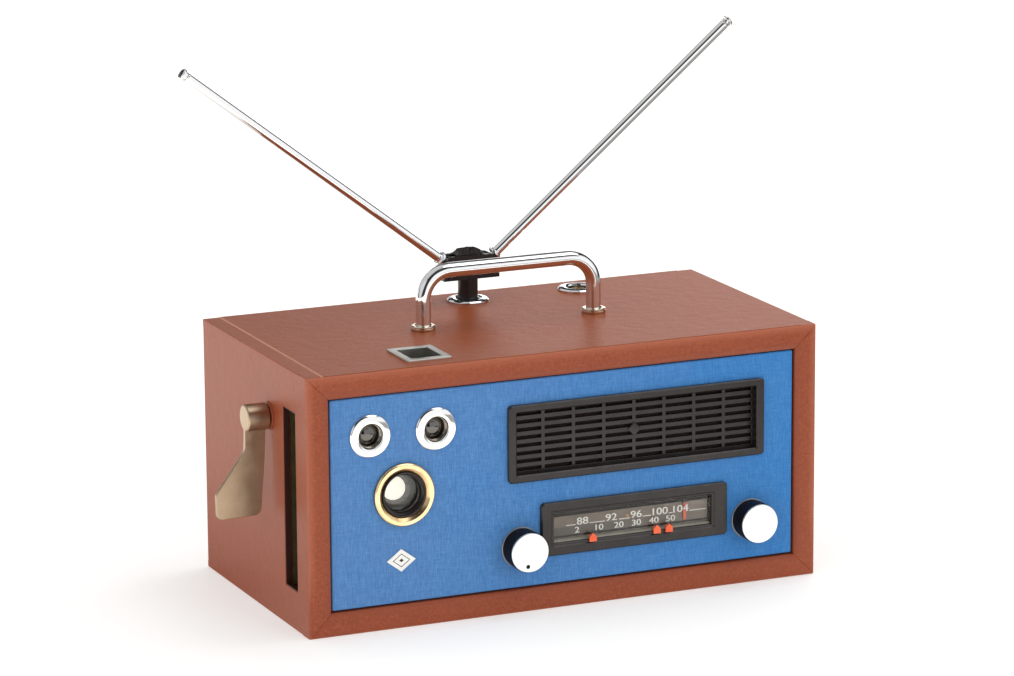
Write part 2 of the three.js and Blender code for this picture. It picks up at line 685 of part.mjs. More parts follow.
function makeHandle() {
  const section = new THREE.Shape().absarc(0, 0, HANDLE.radius, 0, 2 * Math.PI);
  const extrudePath = new BowCurve();
  const bow = new THREE.ExtrudeGeometry(section, { steps: 26, curveSegments: 5, extrudePath });
  part('handle_bow', bow, CHROME);
  for (const [name, side] of [['left', -1], ['right', 1]]) {
    const collar = turned([
      [COLLAR.bore, GAP],
      [COLLAR.radius, GAP],
      [COLLAR.radius, COLLAR.height - 0.8],
      [COLLAR.radius - 0.9, COLLAR.height],
      [COLLAR.bore, COLLAR.height],
    ], 24);
    collar.translate(HANDLE.x + (side * HANDLE.span) / 2, HANDLE.y, TOP);
    part(`handle_collar_${name}`, collar, CHROME);
  }
}

// ---------------------------------------------------------------- aerial

function makeAerialMast() {
  part('aerial_eyelet', eyelet().translate(AERIAL.x, AERIAL.y, TOP), CHROME);
  part('socket_eyelet', eyelet().translate(SOCKET_X, AERIAL.y, TOP), CHROME);

  const post = turned([
    [0, AERIAL.postFoot],
    [10.5, AERIAL.postFoot],
    [10.5, AERIAL.postFoot + 2.5],
    [AERIAL.post, AERIAL.postFoot + 2.5],
    [AERIAL.post, HEAD.bottom - GAP],
    [0, HEAD.bottom - GAP],
  ]);
  part('aerial_post', post.translate(AERIAL.x, AERIAL.y, 0), BLACK_PLASTIC);

  const { bottom, pivotZ, pivotX, arch, depth, slot, bore } = HEAD;
  const outline = new THREE.Shape();
  outline.moveTo(AERIAL.x - pivotX - arch, bottom);
  outline.lineTo(AERIAL.x + pivotX + arch, bottom);
  outline.absarc(AERIAL.x + pivotX, pivotZ, arch, 0, Math.PI / 2);
  outline.absarc(AERIAL.x - pivotX, pivotZ, arch, Math.PI / 2, Math.PI);
  const tools = [-1, 1].flatMap((side) => {
    const pivot = AERIAL.x + side * pivotX;
    const slotX = [pivot - side * 7, pivot + side * 12].sort((a, b) => a - b);
    const pin = turned([[0, -depth], [bore, -depth], [bore, depth], [0, depth]], SMALL_ROUND);
    return [
      block(slotX, around(AERIAL.y, slot), [pivotZ - 6.8, pivotZ + 12]),
      pin.rotateX(Math.PI / 2).translate(pivot, AERIAL.y, pivotZ),
    ];
  });
  const head = cut(prism(outline, 'y', around(AERIAL.y, depth), 8), ...tools);
  part('aerial_head', head, BLACK_PLASTIC);

  const cap = new THREE.CylinderGeometry(0.3, Math.SQRT2, 1, 4).rotateY(Math.PI / 4).rotateX(Math.PI / 2);
  cap.scale(HEAD_CAP.halfLength, HEAD_CAP.halfDepth, HEAD_CAP.height);
  cap.translate(AERIAL.x, AERIAL.y, pivotZ + arch + GAP + HEAD_CAP.height / 2);
  part('aerial_head_cap', cap, BLACK_PLASTIC);
}

// One rod, drawn straight up from its pivot and then leant outwards.
function makeRod(name, side) {
  const lean = THREE.MathUtils.degToRad(90 - ROD_ELEVATION[name]);
  const rod = new THREE.Group();
  rod.position.set(AERIAL.x + side * HEAD.pivotX, AERIAL.y, HEAD.pivotZ);
  rod.rotation.y = side * lean;
  radio.add(rod);

  const across = (radius, half) =>
    turned([[0, -half], [radius, -half], [radius, half], [0, half]], 20).rotateX(Math.PI / 2);
  const neck = turned([
    [0, 0],
    [3.1, 0],
    [3.1, 7.9],
    [5.35, 7.9],
    [5.35, 9.6],
    [3.9, ROD.foot - 0.3],
    [0, ROD.foot - 0.3],
  ], 20);
  const disc = across(6.2, HEAD.slot / 2 - GAP);
  const pin = across(HEAD.bore - GAP, HEAD.depth / 2 + 0.5);
  const knuckle = joined(disc, pin, neck);
  part(`aerial_knuckle_${name}`, knuckle, CHROME, rod);

  const tubeEnd = ROD.length - 4.4;
  const tube = (radius, foot) => turned([
    [radius - ROD.wall, foot],
    [radius, foot],
    [radius, tubeEnd],
    [radius - ROD.wall, tubeEnd],
  ], SMALL_ROUND);
  part(`aerial_tube_${name}`, tube(ROD.outer, ROD.foot), CHROME, rod);
  part(`aerial_middle_${name}`, tube(ROD.middle, ROD.foot + 4), CHROME, rod);

  const tip = turned([
    [ROD.tip - 0.6, ROD.foot + 8],
    [ROD.tip, ROD.foot + 8],
    [ROD.tip, tubeEnd + 0.4],
    [ROD.outer, tubeEnd + 0.4],
    [ROD.outer, ROD.length - 2.4],
    [ROD.cap, ROD.length - 2],
    [ROD.cap, ROD.length - 0.6],
    [ROD.cap - 0.8, ROD.length],
    [ROD.tip - 0.6, ROD.length],
  ], SMALL_ROUND);
  part(`aerial_tip_${name}`, tip, CHROME, rod);
}

makeCase();
makeFrontPanel();
makeFinderLenses();
makeMainLens();
makeFinderHood();
makeSpeakerGrille();
makeSpeaker();
makeDial();
makeControls();
makeElectronics();
makeSlotChannel();
makeLever();
makeHandle();
makeAerialMast();
makeRod('left', -1);
makeRod('right', 1);

export default radio;
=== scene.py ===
"""Looks of the cabinet radio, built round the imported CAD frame.

Shapes are drawn in millimetres in the row frame (+Z up, the front faces -Y) and scaled once, in make().
"""

import math

import bmesh
import bpy
from mathutils import Matrix, Vector
from mathutils.geometry import tessellate_polygon


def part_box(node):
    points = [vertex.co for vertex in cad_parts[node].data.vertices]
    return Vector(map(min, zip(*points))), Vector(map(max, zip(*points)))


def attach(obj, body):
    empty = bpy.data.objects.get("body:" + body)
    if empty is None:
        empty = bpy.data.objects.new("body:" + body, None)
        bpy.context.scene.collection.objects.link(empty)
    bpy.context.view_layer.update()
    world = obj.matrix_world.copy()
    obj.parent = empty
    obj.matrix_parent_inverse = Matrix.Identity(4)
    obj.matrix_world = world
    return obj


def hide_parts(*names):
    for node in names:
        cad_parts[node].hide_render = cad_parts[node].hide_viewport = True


MM = 0.001
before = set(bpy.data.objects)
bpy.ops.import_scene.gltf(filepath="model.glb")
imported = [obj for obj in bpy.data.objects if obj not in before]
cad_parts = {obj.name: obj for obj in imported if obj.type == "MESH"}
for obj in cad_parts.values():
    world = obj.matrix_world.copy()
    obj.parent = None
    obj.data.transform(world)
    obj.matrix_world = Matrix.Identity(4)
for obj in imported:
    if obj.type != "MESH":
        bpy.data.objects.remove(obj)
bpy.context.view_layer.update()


# ---------------------------------------------------------------- sizes the CAD frame gives

def node_box(node):
    """The lowest and highest corner of a CAD node, in millimetres."""
    low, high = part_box(node)
    return low / MM, high / MM


def node_centre(node):
    low, high = node_box(node)
    return (low + high) / 2


def node_spans(node, axes="xz", by=0):
    """A node's reach along two axes, pulled in by some millimetres."""
    low, high = node_box(node)
    return [(getattr(low, axis) + by, getattr(high, axis) - by) for axis in axes]


CASE_LOW, CASE_HIGH = node_box("front_frame")
HALF_WIDTH, TOP, FRONT = CASE_HIGH.x, CASE_HIGH.z, CASE_LOW.y
HALF_DEPTH = -FRONT
REAR = node_box("cabinet_top")[1].y
FRAME_BACK = CASE_HIGH.y
PANEL_LOW, PANEL_HIGH = node_box("front_panel")
FACE = PANEL_LOW.y
BOARD = TOP - node_box("cabinet_top")[0].z
SCALE_LOW, SCALE_HIGH = node_box("dial_scale")
HEAD_LOW, HEAD_HIGH = node_box("aerial_head")
HEAD_MIDDLE = (HEAD_LOW + HEAD_HIGH) / 2

BORDER = 16  # width of the front frame
COVER = 0.3  # thickness of the leatherette sheet glued over the top
SEAM = 12  # from the case's ends to the edges of that sheet
SHARP = 0.8  # radius of the case's wrapped edges
SCALE_SPLIT = 54.2  # height at which the scale's card turns from grey to brown
PIVOTS = {"left": HEAD_MIDDLE.x - 13.75, "right": HEAD_MIDDLE.x + 13.75}  # x of the rods' pivots
PIVOT_Z = HEAD_HIGH.z - 7.3


# ---------------------------------------------------------------- camera

# solved from the case's corners in the photo
CAMERA_AZIMUTH = math.radians(-23.686)
CAMERA_ELEVATION = math.radians(13.215)
CAMERA_ROLL = math.radians(-0.363)
CAMERA_DISTANCE = 3.1672
CAMERA_TARGET = Vector((-0.0011, 0, 0.1661))
CAMERA_LENS = 163.5


def make_camera():
    azimuth, elevation = CAMERA_AZIMUTH, CAMERA_ELEVATION
    back = Vector((
        math.sin(azimuth) * math.cos(elevation),
        -math.cos(azimuth) * math.cos(elevation),
        math.sin(elevation),
    ))
    right = Vector((math.cos(azimuth), math.sin(azimuth), 0))
    up = back.cross(right)
    turn = Matrix.Rotation(-CAMERA_ROLL, 3, -back)
    data = bpy.data.cameras.new("camera")
    data.lens = CAMERA_LENS
    data.sensor_width = 36
    data.clip_start = 0.1
    data.clip_end = 100
    camera = bpy.data.objects.new("camera", data)
    bpy.context.scene.collection.objects.link(camera)
    axes = Matrix((turn @ right, turn @ up, back)).transposed()
    camera.matrix_world = Matrix.Translation(CAMERA_TARGET + CAMERA_DISTANCE * back) @ axes.to_4x4()
    bpy.context.scene.camera = camera


# ---------------------------------------------------------------- material building

def srgb(red, green, blue):
    """A screen colour, 0 to 255, as linear RGBA."""
    def linear(value):
        value /= 255
        return value / 12.92 if value <= 0.04045 else ((value + 0.055) / 1.055) ** 2.4
    return (linear(red), linear(green), linear(blue), 1)


class Nodes:
    """A node tree, with short ways to add to it."""

    def __init__(self, tree, coords):
        self.tree = tree
        self.coords = self.add("TexCoord").outputs[coords]

    def put(self, value, socket):
        if isinstance(value, bpy.types.NodeSocket):
            self.tree.links.new(value, socket)
        else:
            socket.default_value = value

    def add(self, kind, inputs=None, **settings):
        node = self.tree.nodes.new("ShaderNode" + kind)
        for key, value in settings.items():
            setattr(node, key, value)
        for key, value in (inputs or {}).items():
            self.put(value, node.inputs[key])
        return node

    def noise(self, size, detail=2, stretch=(1, 1, 1), roughness=0.5):
        """Noise with features about size millimetres across, longer where stretch is above 1."""
        scale = [1 / (size * MM * s) for s in stretch]
        place = self.add("Mapping", {"Vector": self.coords, "Scale": scale}).outputs["Vector"]
        inputs = {"Vector": place, "Scale": 1, "Detail": detail, "Roughness": roughness}
        return self.add("TexNoise", inputs).outputs["Fac"]

    def cells(self, size):
        """Rounded bumps about size millimetres across."""
        inputs = {"Vector": self.coords, "Scale": 1 / (size * MM)}
        return self.add("TexVoronoi", inputs, feature="SMOOTH_F1").outputs["Distance"]

    def threads(self, axis, pitch):
        """Parallel ridges, one every pitch millimetres along x, y or z."""
        inputs = {
            "Vector": self.coords, "Scale": math.pi / (10 * pitch * MM),
            "Distortion": 1.5, "Detail": 2, "Detail Scale": 0.35,
        }
        return self.add("TexWave", inputs, bands_direction=axis).outputs["Fac"]

    def math(self, operation, first, second=0.0):
        node = self.add("Math", operation=operation)
        self.put(first, node.inputs[0])
        self.put(second, node.inputs[1])
        return node.outputs[0]

    def times(self, first, second):
        return self.math("MULTIPLY", first, second)

    def remap(self, value, low, high, to_low=0.0, to_high=1.0):
        inputs = {"Value": value, "From Min": low, "From Max": high, "To Min": to_low, "To Max": to_high}
        return self.add("MapRange", inputs).outputs["Result"]

    def mix(self, factor, first, second):
        inputs = {"Factor": factor, 6: first, 7: second}
        return self.add("Mix", inputs, data_type="RGBA").outputs[2]

    def ramp(self, factor, *stops):
        """A colour scale, from stops of (position, screen colour)."""
        node = self.add("ValToRGB", {"Fac": factor})
        elements = node.color_ramp.elements
        while len(elements) < len(stops):
            elements.new(0.5)
        for element, (position, color) in zip(elements, stops):
            element.position = position
            element.color = srgb(*color)
        return node.outputs["Color"]

    def axis(self, name):
        return self.add("SeparateXYZ", {"Vector": self.coords}).outputs[name]

    def vector(self, operation, first, second=(0, 0, 0)):
        """A single number from one or two vectors."""
        return self.add("VectorMath", {0: first, 1: second}, operation=operation).outputs["Value"]

    def towards(self, direction):
        """How nearly the coordinates point along a direction, from -1 to 1."""
        return self.vector("DOT_PRODUCT", self.coords, Vector(direction).normalized())


class Shader(Nodes):
    """One node material on a Principled shader."""

    def __init__(self, name, color=(0.5, 0.5, 0.5, 1), roughness=0.5, metallic=0.0, **sockets):
        self.material = bpy.data.materials.new(name)
        self.material.use_nodes = True
        super().__init__(self.material.node_tree, "Object")
        self.bsdf = self.tree.nodes["Principled BSDF"]
        self.set("Base Color", color)
        self.set("Roughness", roughness)
        self.set("Metallic", metallic)
        for key, value in sockets.items():
            self.set(key.replace("_", " "), value)

    def set(self, name, value):
        self.put(value, self.bsdf.inputs[name])

    def bump(self, *layers):
        """Layers of (height, depth in millimetres), one on top of another."""
        normal = None
        for height, depth in layers:
            inputs = {"Height": height, "Strength": 1.0, "Distance": depth * MM}
            if normal is not None:
                inputs["Normal"] = normal
            normal = self.add("Bump", inputs).outputs["Normal"]
        self.set("Normal", normal)


# ---------------------------------------------------------------- materials

def edge_nearness(shader):
    """Metres to the case's nearest outer edge, for a point on its surface."""
    x = shader.math("SUBTRACT", HALF_WIDTH * MM, shader.math("ABSOLUTE", shader.axis("X")))
    y = shader.math("SUBTRACT", HALF_DEPTH * MM, shader.math("ABSOLUTE", shader.axis("Y")))
    middle = shader.math("SUBTRACT", shader.axis("Z"), TOP * MM / 2)
    z = shader.math("SUBTRACT", TOP * MM / 2, shader.math("ABSOLUTE", middle))
    low, high = shader.math("MINIMUM", x, y), shader.math("MAXIMUM", x, y)
    return shader.math("MAXIMUM", low, shader.math("MINIMUM", high, z))


def leatherette():
    """Brown bookbinder's vinyl: pebbled, finely wrinkled, paler at the case's edges, partly worn and partly
    a painted highlight.

    The front border has a painted highlight outside and painted shade inside; the top is browner, and darker
    towards the left as painted shade, with a painted highlight along the left edge of its sheet.
    """
    shader = Shader("leatherette", Specular_IOR_Level=0.38, Sheen_Weight=0.04, Sheen_Roughness=0.45)
    shader.set("Sheen Tint", srgb(255, 236, 205))
    shader.set("Specular Tint", srgb(255, 253, 244))
    mottle = shader.noise(1.7, detail=8, roughness=0.65)
    blotch = shader.noise(55, detail=2)
    wrinkles = shader.noise(0.9, detail=3, stretch=(9, 2, 1))
    color = shader.ramp(mottle, (0.32, (133, 56, 29)), (0.52, (150, 68, 37)), (0.7, (167, 84, 50)))
    color = shader.mix(shader.remap(blotch, 0.3, 0.7, 0.0, 0.4), color, srgb(157, 75, 43))
    color = shader.mix(shader.remap(wrinkles, 0.35, 0.65, 0.0, 0.2), color, srgb(112, 50, 32))

    # Paler within about a millimetre of the case's edges: partly wear, partly a painted highlight where the
    # rounded edges catch the light.
    edge = edge_nearness(shader)
    ragged = shader.math("ADD", edge, shader.remap(shader.noise(1.6, detail=4), 0, 1, -0.0008, 0.0008))
    wear_and_highlight = shader.remap(ragged, 0.0002, 0.0011, 0.5, 0.0)
    color = shader.mix(wear_and_highlight, color, srgb(188, 112, 84))

    # The front border: a painted highlight on the outer part of the upper and side borders, and painted
    # shade deepening towards its inner edge.
    at_front = shader.remap(shader.axis("Y"), (FRONT + 1.8) * MM, (FRONT + 1.2) * MM)
    above = shader.times(at_front, shader.remap(shader.axis("Z"), 0.02, 0.045))
    border_highlight = shader.times(above, shader.remap(edge, 0.001, 0.006, 0.42, 0.0))
    shaded = shader.times(at_front, shader.remap(edge, 0.007, 0.0155, 0.0, 0.3))
    color = shader.mix(border_highlight, color, srgb(188, 112, 86))
    color = shader.mix(shaded, color, srgb(124, 54, 36))

    at_top = shader.remap(shader.axis("Z"), (TOP - 0.6) * MM, (TOP - 0.4) * MM)
    # Painted shade darkens the top more towards the left, where less light falls.
    left_shade = shader.times(shader.remap(shader.axis("X"), 0.16, -0.12, 0.0, 0.27), at_top)
    color = shader.mix(left_shade, color, srgb(40, 26, 8))
    color = shader.mix(shader.times(at_top, 0.55), color, srgb(142, 62, 6))
    # A painted highlight along the left edge of the raised top sheet, which catches the light.
    seam = shader.math("ABSOLUTE", shader.math("ADD", shader.axis("X"), (HALF_WIDTH - SEAM) * MM))
    seam_highlight = shader.times(shader.remap(seam, 0.0004, 0.0009, 0.75, 0.0), at_top)
    shader.set("Base Color", shader.mix(seam_highlight, color, srgb(206, 152, 126)))

    shader.set("Roughness", shader.remap(mottle, 0.3, 0.7, 0.38, 0.5))
    swell, pebbles, grit = shader.noise(9, detail=3), shader.cells(0.9), shader.noise(0.35)
    shader.bump((swell, 0.28), (wrinkles, 0.1), (pebbles, 0.09), (grit, 0.02))
    return shader.material


def blue_linen():
    """Bookbinder's linen: fine threads both ways, paler and greyer towards the left as a painted sheen."""
    shader = Shader("blue_linen", Specular_IOR_Level=0.35, Sheen_Weight=0.12)
    shader.set("Sheen Tint", srgb(205, 222, 250))
    warp = shader.noise(0.42, detail=3, stretch=(1, 1, 14), roughness=0.6)
    weft = shader.noise(0.42, detail=3, stretch=(14, 1, 1), roughness=0.6)
    slubs = shader.math("ADD", shader.times(warp, 0.6), shader.times(weft, 0.4))
    threads = shader.ramp(slubs, (0.4, (30, 101, 172)), (0.5, (50, 124, 192)), (0.61, (82, 150, 214)))
    contrast = shader.remap(shader.axis("X"), 0.12, -0.1, 0.4, 1.0)
    color = shader.mix(contrast, srgb(50, 124, 192), threads)
    # Painted sheen: paler and greyer towards the left, with random clouding added.
    painted_sheen = shader.remap(shader.axis("X"), 0.14, -0.12, 0.0, 0.42)
    cloud = shader.remap(shader.noise(40, detail=2), 0.3, 0.7, 0.0, 0.12)
    shader.set("Base Color", shader.mix(shader.math("ADD", painted_sheen, cloud), color, srgb(102, 137, 183)))
    shader.set("Roughness", shader.remap(slubs, 0.35, 0.65, 0.8, 0.66))
    weave = shader.times(shader.threads("X", 0.45), shader.threads("Z", 0.45))
    shader.bump((slubs, 0.1), (weave, 0.05))
    return shader.material


def plated(name, color, roughness, smudge=0.05, grain=0.0, stretch=(1, 1, 1)):
    """Bright metal with faint handling marks, brushed along the stretched axis where grain is above 0."""
    shader = Shader(name, color=color, metallic=1.0)
    marks = shader.noise(14, detail=5, roughness=0.7)
    shader.set("Roughness", shader.remap(marks, 0.35, 0.75, roughness, roughness + smudge))
    layers = [(shader.noise(6, detail=1), 0.01)]
    if grain:
        layers.append((shader.noise(0.18, detail=3, stretch=stretch), grain))
    shader.bump(*layers)
    return shader.material


def nickel_bronze():
    shader = Shader("nickel_bronze", metallic=1.0)
    cloud = shader.noise(13, detail=5, roughness=0.6)
    specks = shader.noise(0.9, detail=4, roughness=0.7)
    color = shader.ramp(cloud, (0.3, (164, 142, 118)), (0.7, (184, 163, 140)))
    dark = shader.remap(specks, 0.64, 0.76, 0.0, 0.35)
    shader.set("Base Color", shader.mix(dark, color, srgb(104, 84, 62)))
    shader.set("Roughness", shader.remap(cloud, 0.3, 0.7, 0.3, 0.4))
    shader.bump((shader.noise(0.22, detail=3, stretch=(1, 1, 18)), 0.015), (specks, 0.02))
    return shader.material


def spun_aluminium():
    """Turned end faces: fine rings about the piece's own axis."""
    shader = Shader("spun_aluminium", color=srgb(246, 246, 245), metallic=1.0, Anisotropic=0.55)
    flat = shader.add("CombineXYZ", {"X": shader.axis("X"), "Y": shader.axis("Y")}).outputs["Vector"]
    along = shader.add("CombineXYZ", {"X": shader.vector("LENGTH", flat)}).outputs["Vector"]
    grooves = {"Vector": along, "Scale": 5200, "Detail": 4, "Roughness": 0.8}
    rings = shader.add("TexNoise", grooves).outputs["Fac"]
    shader.set("Tangent", shader.add("Tangent", direction_type="RADIAL", axis="Z").outputs["Tangent"])
    shader.set("Roughness", shader.remap(rings, 0.3, 0.7, 0.26, 0.38))
    shader.bump((rings, 0.006))
    return shader.material


def turned_brass():
    """Polished brass with flecks of tarnish, browner where the ring dips in towards the lens as a painted
    dark reflection.
    """
    shader = Shader("brass", metallic=1.0)
    cloud = shader.noise(7, detail=4)
    tarnish = shader.noise(1.4, detail=5, roughness=0.7)
    color = shader.ramp(cloud, (0.35, (238, 202, 152)), (0.65, (248, 222, 178)))
    # Painted dark reflection: browner where the ring's face dips in towards the lens; the flecks of tarnish
    # are the brass's own.
    depth = shader.remap(shader.axis("Z"), 0.0028, 0.001, 0.0, 0.55)
    tarnish_and_dark_reflection = shader.math("MAXIMUM", shader.remap(tarnish, 0.6, 0.8, 0.0, 0.4), depth)
    shader.set("Base Color", shader.mix(tarnish_and_dark_reflection, color, srgb(150, 96, 44)))
    shader.set("Roughness", shader.remap(tarnish, 0.3, 0.8, 0.17, 0.32))
    shader.bump((shader.noise(0.25), 0.008))
    return shader.material


def moulded(name, dark, light, roughness, texture=0.02, level=0.42):
    """Moulded plastic or paint: a fine satin texture with faint colour variation."""
    shader = Shader(name, Specular_IOR_Level=level)
    cloud = shader.noise(11, detail=5, roughness=0.6)
    shader.set("Base Color", shader.ramp(cloud, (0.3, dark), (0.7, light)))
    shader.set("Roughness", shader.remap(cloud, 0.3, 0.7, roughness + 0.05, roughness - 0.05))
    shader.bump((shader.noise(0.3, detail=3), texture))
    return shader.material


def smoked_glass():
    """A dark lens with a mirrored back."""
    shader = Shader("smoked_lens", color=(0.13, 0.125, 0.12, 1), metallic=1.0)
    dust = shader.noise(1.6, detail=5, roughness=0.7)
    shader.set("Roughness", shader.remap(dust, 0.5, 0.8, 0.02, 0.08))
    return shader.material


def clear(name, tint, ior):
    shader = Shader(name, color=tint, IOR=ior, Transmission_Weight=1.0)
    dust = shader.noise(2.2, detail=6, roughness=0.75)
    shader.set("Roughness", shader.remap(dust, 0.5, 0.8, 0.0, 0.06))
    return shader.material


def woven(name, dark, light, pitch, depth):
    shader = Shader(name, roughness=0.9, Specular_IOR_Level=0.25)
    weave = shader.times(shader.threads("X", pitch), shader.threads("Z", pitch))
    shader.set("Base Color", shader.ramp(weave, (0.15, dark), (0.75, light)))
    shader.bump((weave, depth))
    return shader.material


def dial_ground():
    """The scale's card: brown above, grey below, paler to the right, and a dark stripe at its lower edge."""
    shader = Shader("scale_print", Specular_IOR_Level=0.3)
    height = shader.axis("Z")
    split, stripe = SCALE_SPLIT * MM, (SCALE_LOW.z + 1.3) * MM
    cloud = shader.noise(16, detail=3)
    lower = shader.ramp(cloud, (0.3, (92, 87, 83)), (0.7, (108, 103, 97)))
    upper = shader.ramp(cloud, (0.3, (122, 110, 101)), (0.7, (142, 129, 118)))
    color = shader.mix(shader.remap(height, split - 0.0004, split + 0.0004), lower, upper)
    lit = shader.remap(shader.axis("X"), SCALE_LOW.x * MM, SCALE_HIGH.x * MM, 0.0, 0.7)
    color = shader.mix(lit, color, srgb(158, 148, 138))
    below = shader.remap(height, stripe - 0.0001, stripe + 0.0001, 1, 0)
    shader.set("Base Color", shader.mix(below, color, srgb(38, 35, 36)))
    shader.set("Roughness", shader.remap(cloud, 0.3, 0.7, 0.5, 0.62))
    shader.bump((shader.noise(0.2), 0.004))
    return shader.material


def glowing_disc():
    """The barrel's ground-glass rear disc. Its emission is a painted glow, standing in for light shining
    through it from behind.
    """
    shader = Shader("ground_glass", color=srgb(236, 230, 216), roughness=0.6)
    shade = shader.noise(5, detail=3)
    shader.set("Emission Color", shader.ramp(shade, (0.3, (238, 230, 214)), (0.7, (252, 247, 236))))
    shader.set("Emission Strength", 0.85)
    return shader.material


def studio_floor():
    """White paper. Polished pieces see it pale and warm from some way off, and dark far to the right. Close
    round the case its glow dips a little, a painted contact shadow.
    """
    paper, shade = (0.7, 0.695, 0.675, 1), (0.35, 0.34, 0.32, 1)
    shader = Shader("floor", roughness=0.6, Specular_IOR_Level=0.2)
    glossy = shader.add("LightPath").outputs["Is Glossy Ray"]
    distance = shader.vector("LENGTH", shader.coords)
    # Painted contact shadow: the floor glows a little less close round the case.
    near = shader.remap(distance, 0.2, 0.36, -0.03, 0.0)
    seen = shader.math("ADD", shader.remap(distance, 0.4, 2.2, 0.42, 0.6), near)
    from_back = shader.vector("DISTANCE", shader.coords, (0, 0.15, 0))
    right = shader.times(glossy, shader.remap(shader.axis("X"), 0.34, 0.42))
    mirrored = shader.times(shader.remap(from_back, 0.2, 0.42), shader.math("SUBTRACT", 1, right))
    shader.set("Base Color", shader.mix(right, paper, shade))
    shader.set("Emission Color", shader.mix(glossy, (1, 1, 1, 1), (1, 0.95, 0.86, 1)))
    shader.set("Emission Strength", shader.add("Mix", {0: glossy, 2: seen, 3: mirrored}).outputs[0])
    return shader.material


# ---------------------------------------------------------------- outlines

def arc(u, v, radius, start, end, steps):
    """Points on an arc, from start to end degrees."""
    angles = [math.radians(start + (end - start) * k / steps) for k in range(steps + 1)]
    return [(u + radius * math.cos(a), v + radius * math.sin(a)) for a in angles]


FIXED = (0, 0, 0, 0)


def rectangle(u, v, move=(1, 1, 1, 1)):
    """A rectangle that pulls in by t on its left, right, lower and upper sides, times move."""
    left, right, low, high = move

    def outline(t):
        u0, u1 = u[0] + left * t, u[1] - right * t
        v0, v1 = v[0] + low * t, v[1] - high * t
        return [(u0, v0), (u1, v0), (u1, v1), (u0, v1)]
    return outline


def soft_rectangle(u, v, radius, sign=1, steps=6):
    """A round-cornered rectangle that pulls in by t, or grows where sign is -1."""
    def outline(t):
        t *= sign
        r = max(radius - t, 0.05)
        u0, u1, v0, v1 = u[0] + t + r, u[1] - t - r, v[0] + t + r, v[1] - t - r
        return (arc(u1, v0, r, -90, 0, steps) + arc(u1, v1, r, 0, 90, steps)
                + arc(u0, v1, r, 90, 180, steps) + arc(u0, v0, r, 180, 270, steps))
    return outline


def disc(u, v, radius, steps=48):
    return lambda t: arc(u, v, radius, 0, 360, steps)[:-1]


def centred(middle, size):
    return (middle - size / 2, middle + size / 2)


def inset(span, by):
    return (span[0] + by, span[1] - by)


def fillet(points, steps=4, closed=False):
    """Rounds each corner given as (u, v, radius); a corner of two numbers stays sharp."""
    result = []
    count = len(points)
    for k, point in enumerate(points):
        here = Vector(point[:2])
        if len(point) < 3 or not closed and k in (0, count - 1):
            result.append(tuple(here))
            continue
        before = (Vector(points[k - 1][:2]) - here).normalized()
        after = (Vector(points[(k + 1) % count][:2]) - here).normalized()
        half = before.angle(after) / 2
        centre = here + (before + after).normalized() * point[2] / math.sin(half)
        reach = point[2] / math.tan(half)
        start, end = here + before * reach - centre, here + after * reach - centre
        sweep = start.angle_signed(end)
        for step in range(steps + 1):
            turn = Matrix.Rotation(-sweep * step / steps, 2)
            result.append(tuple(centre + turn @ start))
    return result


def shrink(loop, distance):
    """A closed outline moved inwards all round."""
    if not distance:
        return loop
    points = [Vector(p) for p in loop]
    area = sum(a.x * b.y - b.x * a.y for a, b in zip(points, points[1:] + points[:1]))
    sign = 1 if area > 0 else -1
    result = []
    for k, point in enumerate(points):
        before = (point - points[k - 1]).normalized()
        after = (points[(k + 1) % len(points)] - point).normalized()
        normal = Vector((-(before + after).y, (before + after).x)).normalized()
        spread = max(normal.dot(Vector((-before.y, before.x))), 0.3)
        result.append(tuple(point + sign * normal * distance / spread))
    return result


def rounded_levels(low, high, low_radius, high_radius, steps=3):
    """Stations (height, pull-in) of a plate with rounded lower and upper edges."""
    turns = [math.pi / 2 * k / steps for k in range(steps + 1)]
    foot = [(low + low_radius * (1 - math.cos(a)), low_radius * (1 - math.sin(a))) for a in turns]
    head = [(high - high_radius * (1 - math.sin(a)), high_radius * (1 - math.cos(a))) for a in turns]
    return (foot if low_radius else [(low, 0)]) + (head if high_radius else [(high, 0)])


def chamfered_levels(low, high, width):
    """Stations (height, pull-in) of a plate whose upper edge is cut off at 45 degrees."""
    return [(low, 0), (high - width, 0), (high, width)]


def mirrored(stations):
    """Stations on the other side of zero, for a plate whose upper edge points to -X or -Y."""
    return [(-height, pull) for height, pull in stations]


# ---------------------------------------------------------------- mesh building

X, Y, Z = Vector((1, 0, 0)), Vector((0, 1, 0)), Vector((0, 0, 1))
OUTWARDS = {
    "front": (X, Z, -Y), "back": (-X, Z, Y), "left": (-Y, Z, -X), "top": (X, Y, Z), "down": (X, -Y, -Z),
}


def facing(side, x, y, z):
    """The matrix of a piece whose own +Z points out of that side of the case, from (x, y, z)."""
    turn = Matrix(OUTWARDS[side]).transposed().to_4x4()
    return Matrix.Translation(Vector((x, y, z)) * MM) @ turn


def on_front(node):
    """The matrix of a piece that stands on the linen panel, in front of a node's centre."""
    centre = node_centre(node)
    return facing("front", centre.x, FACE, centre.z)


def on_top(node):
    centre = node_centre(node)
    return facing("top", centre.x, centre.y, TOP)


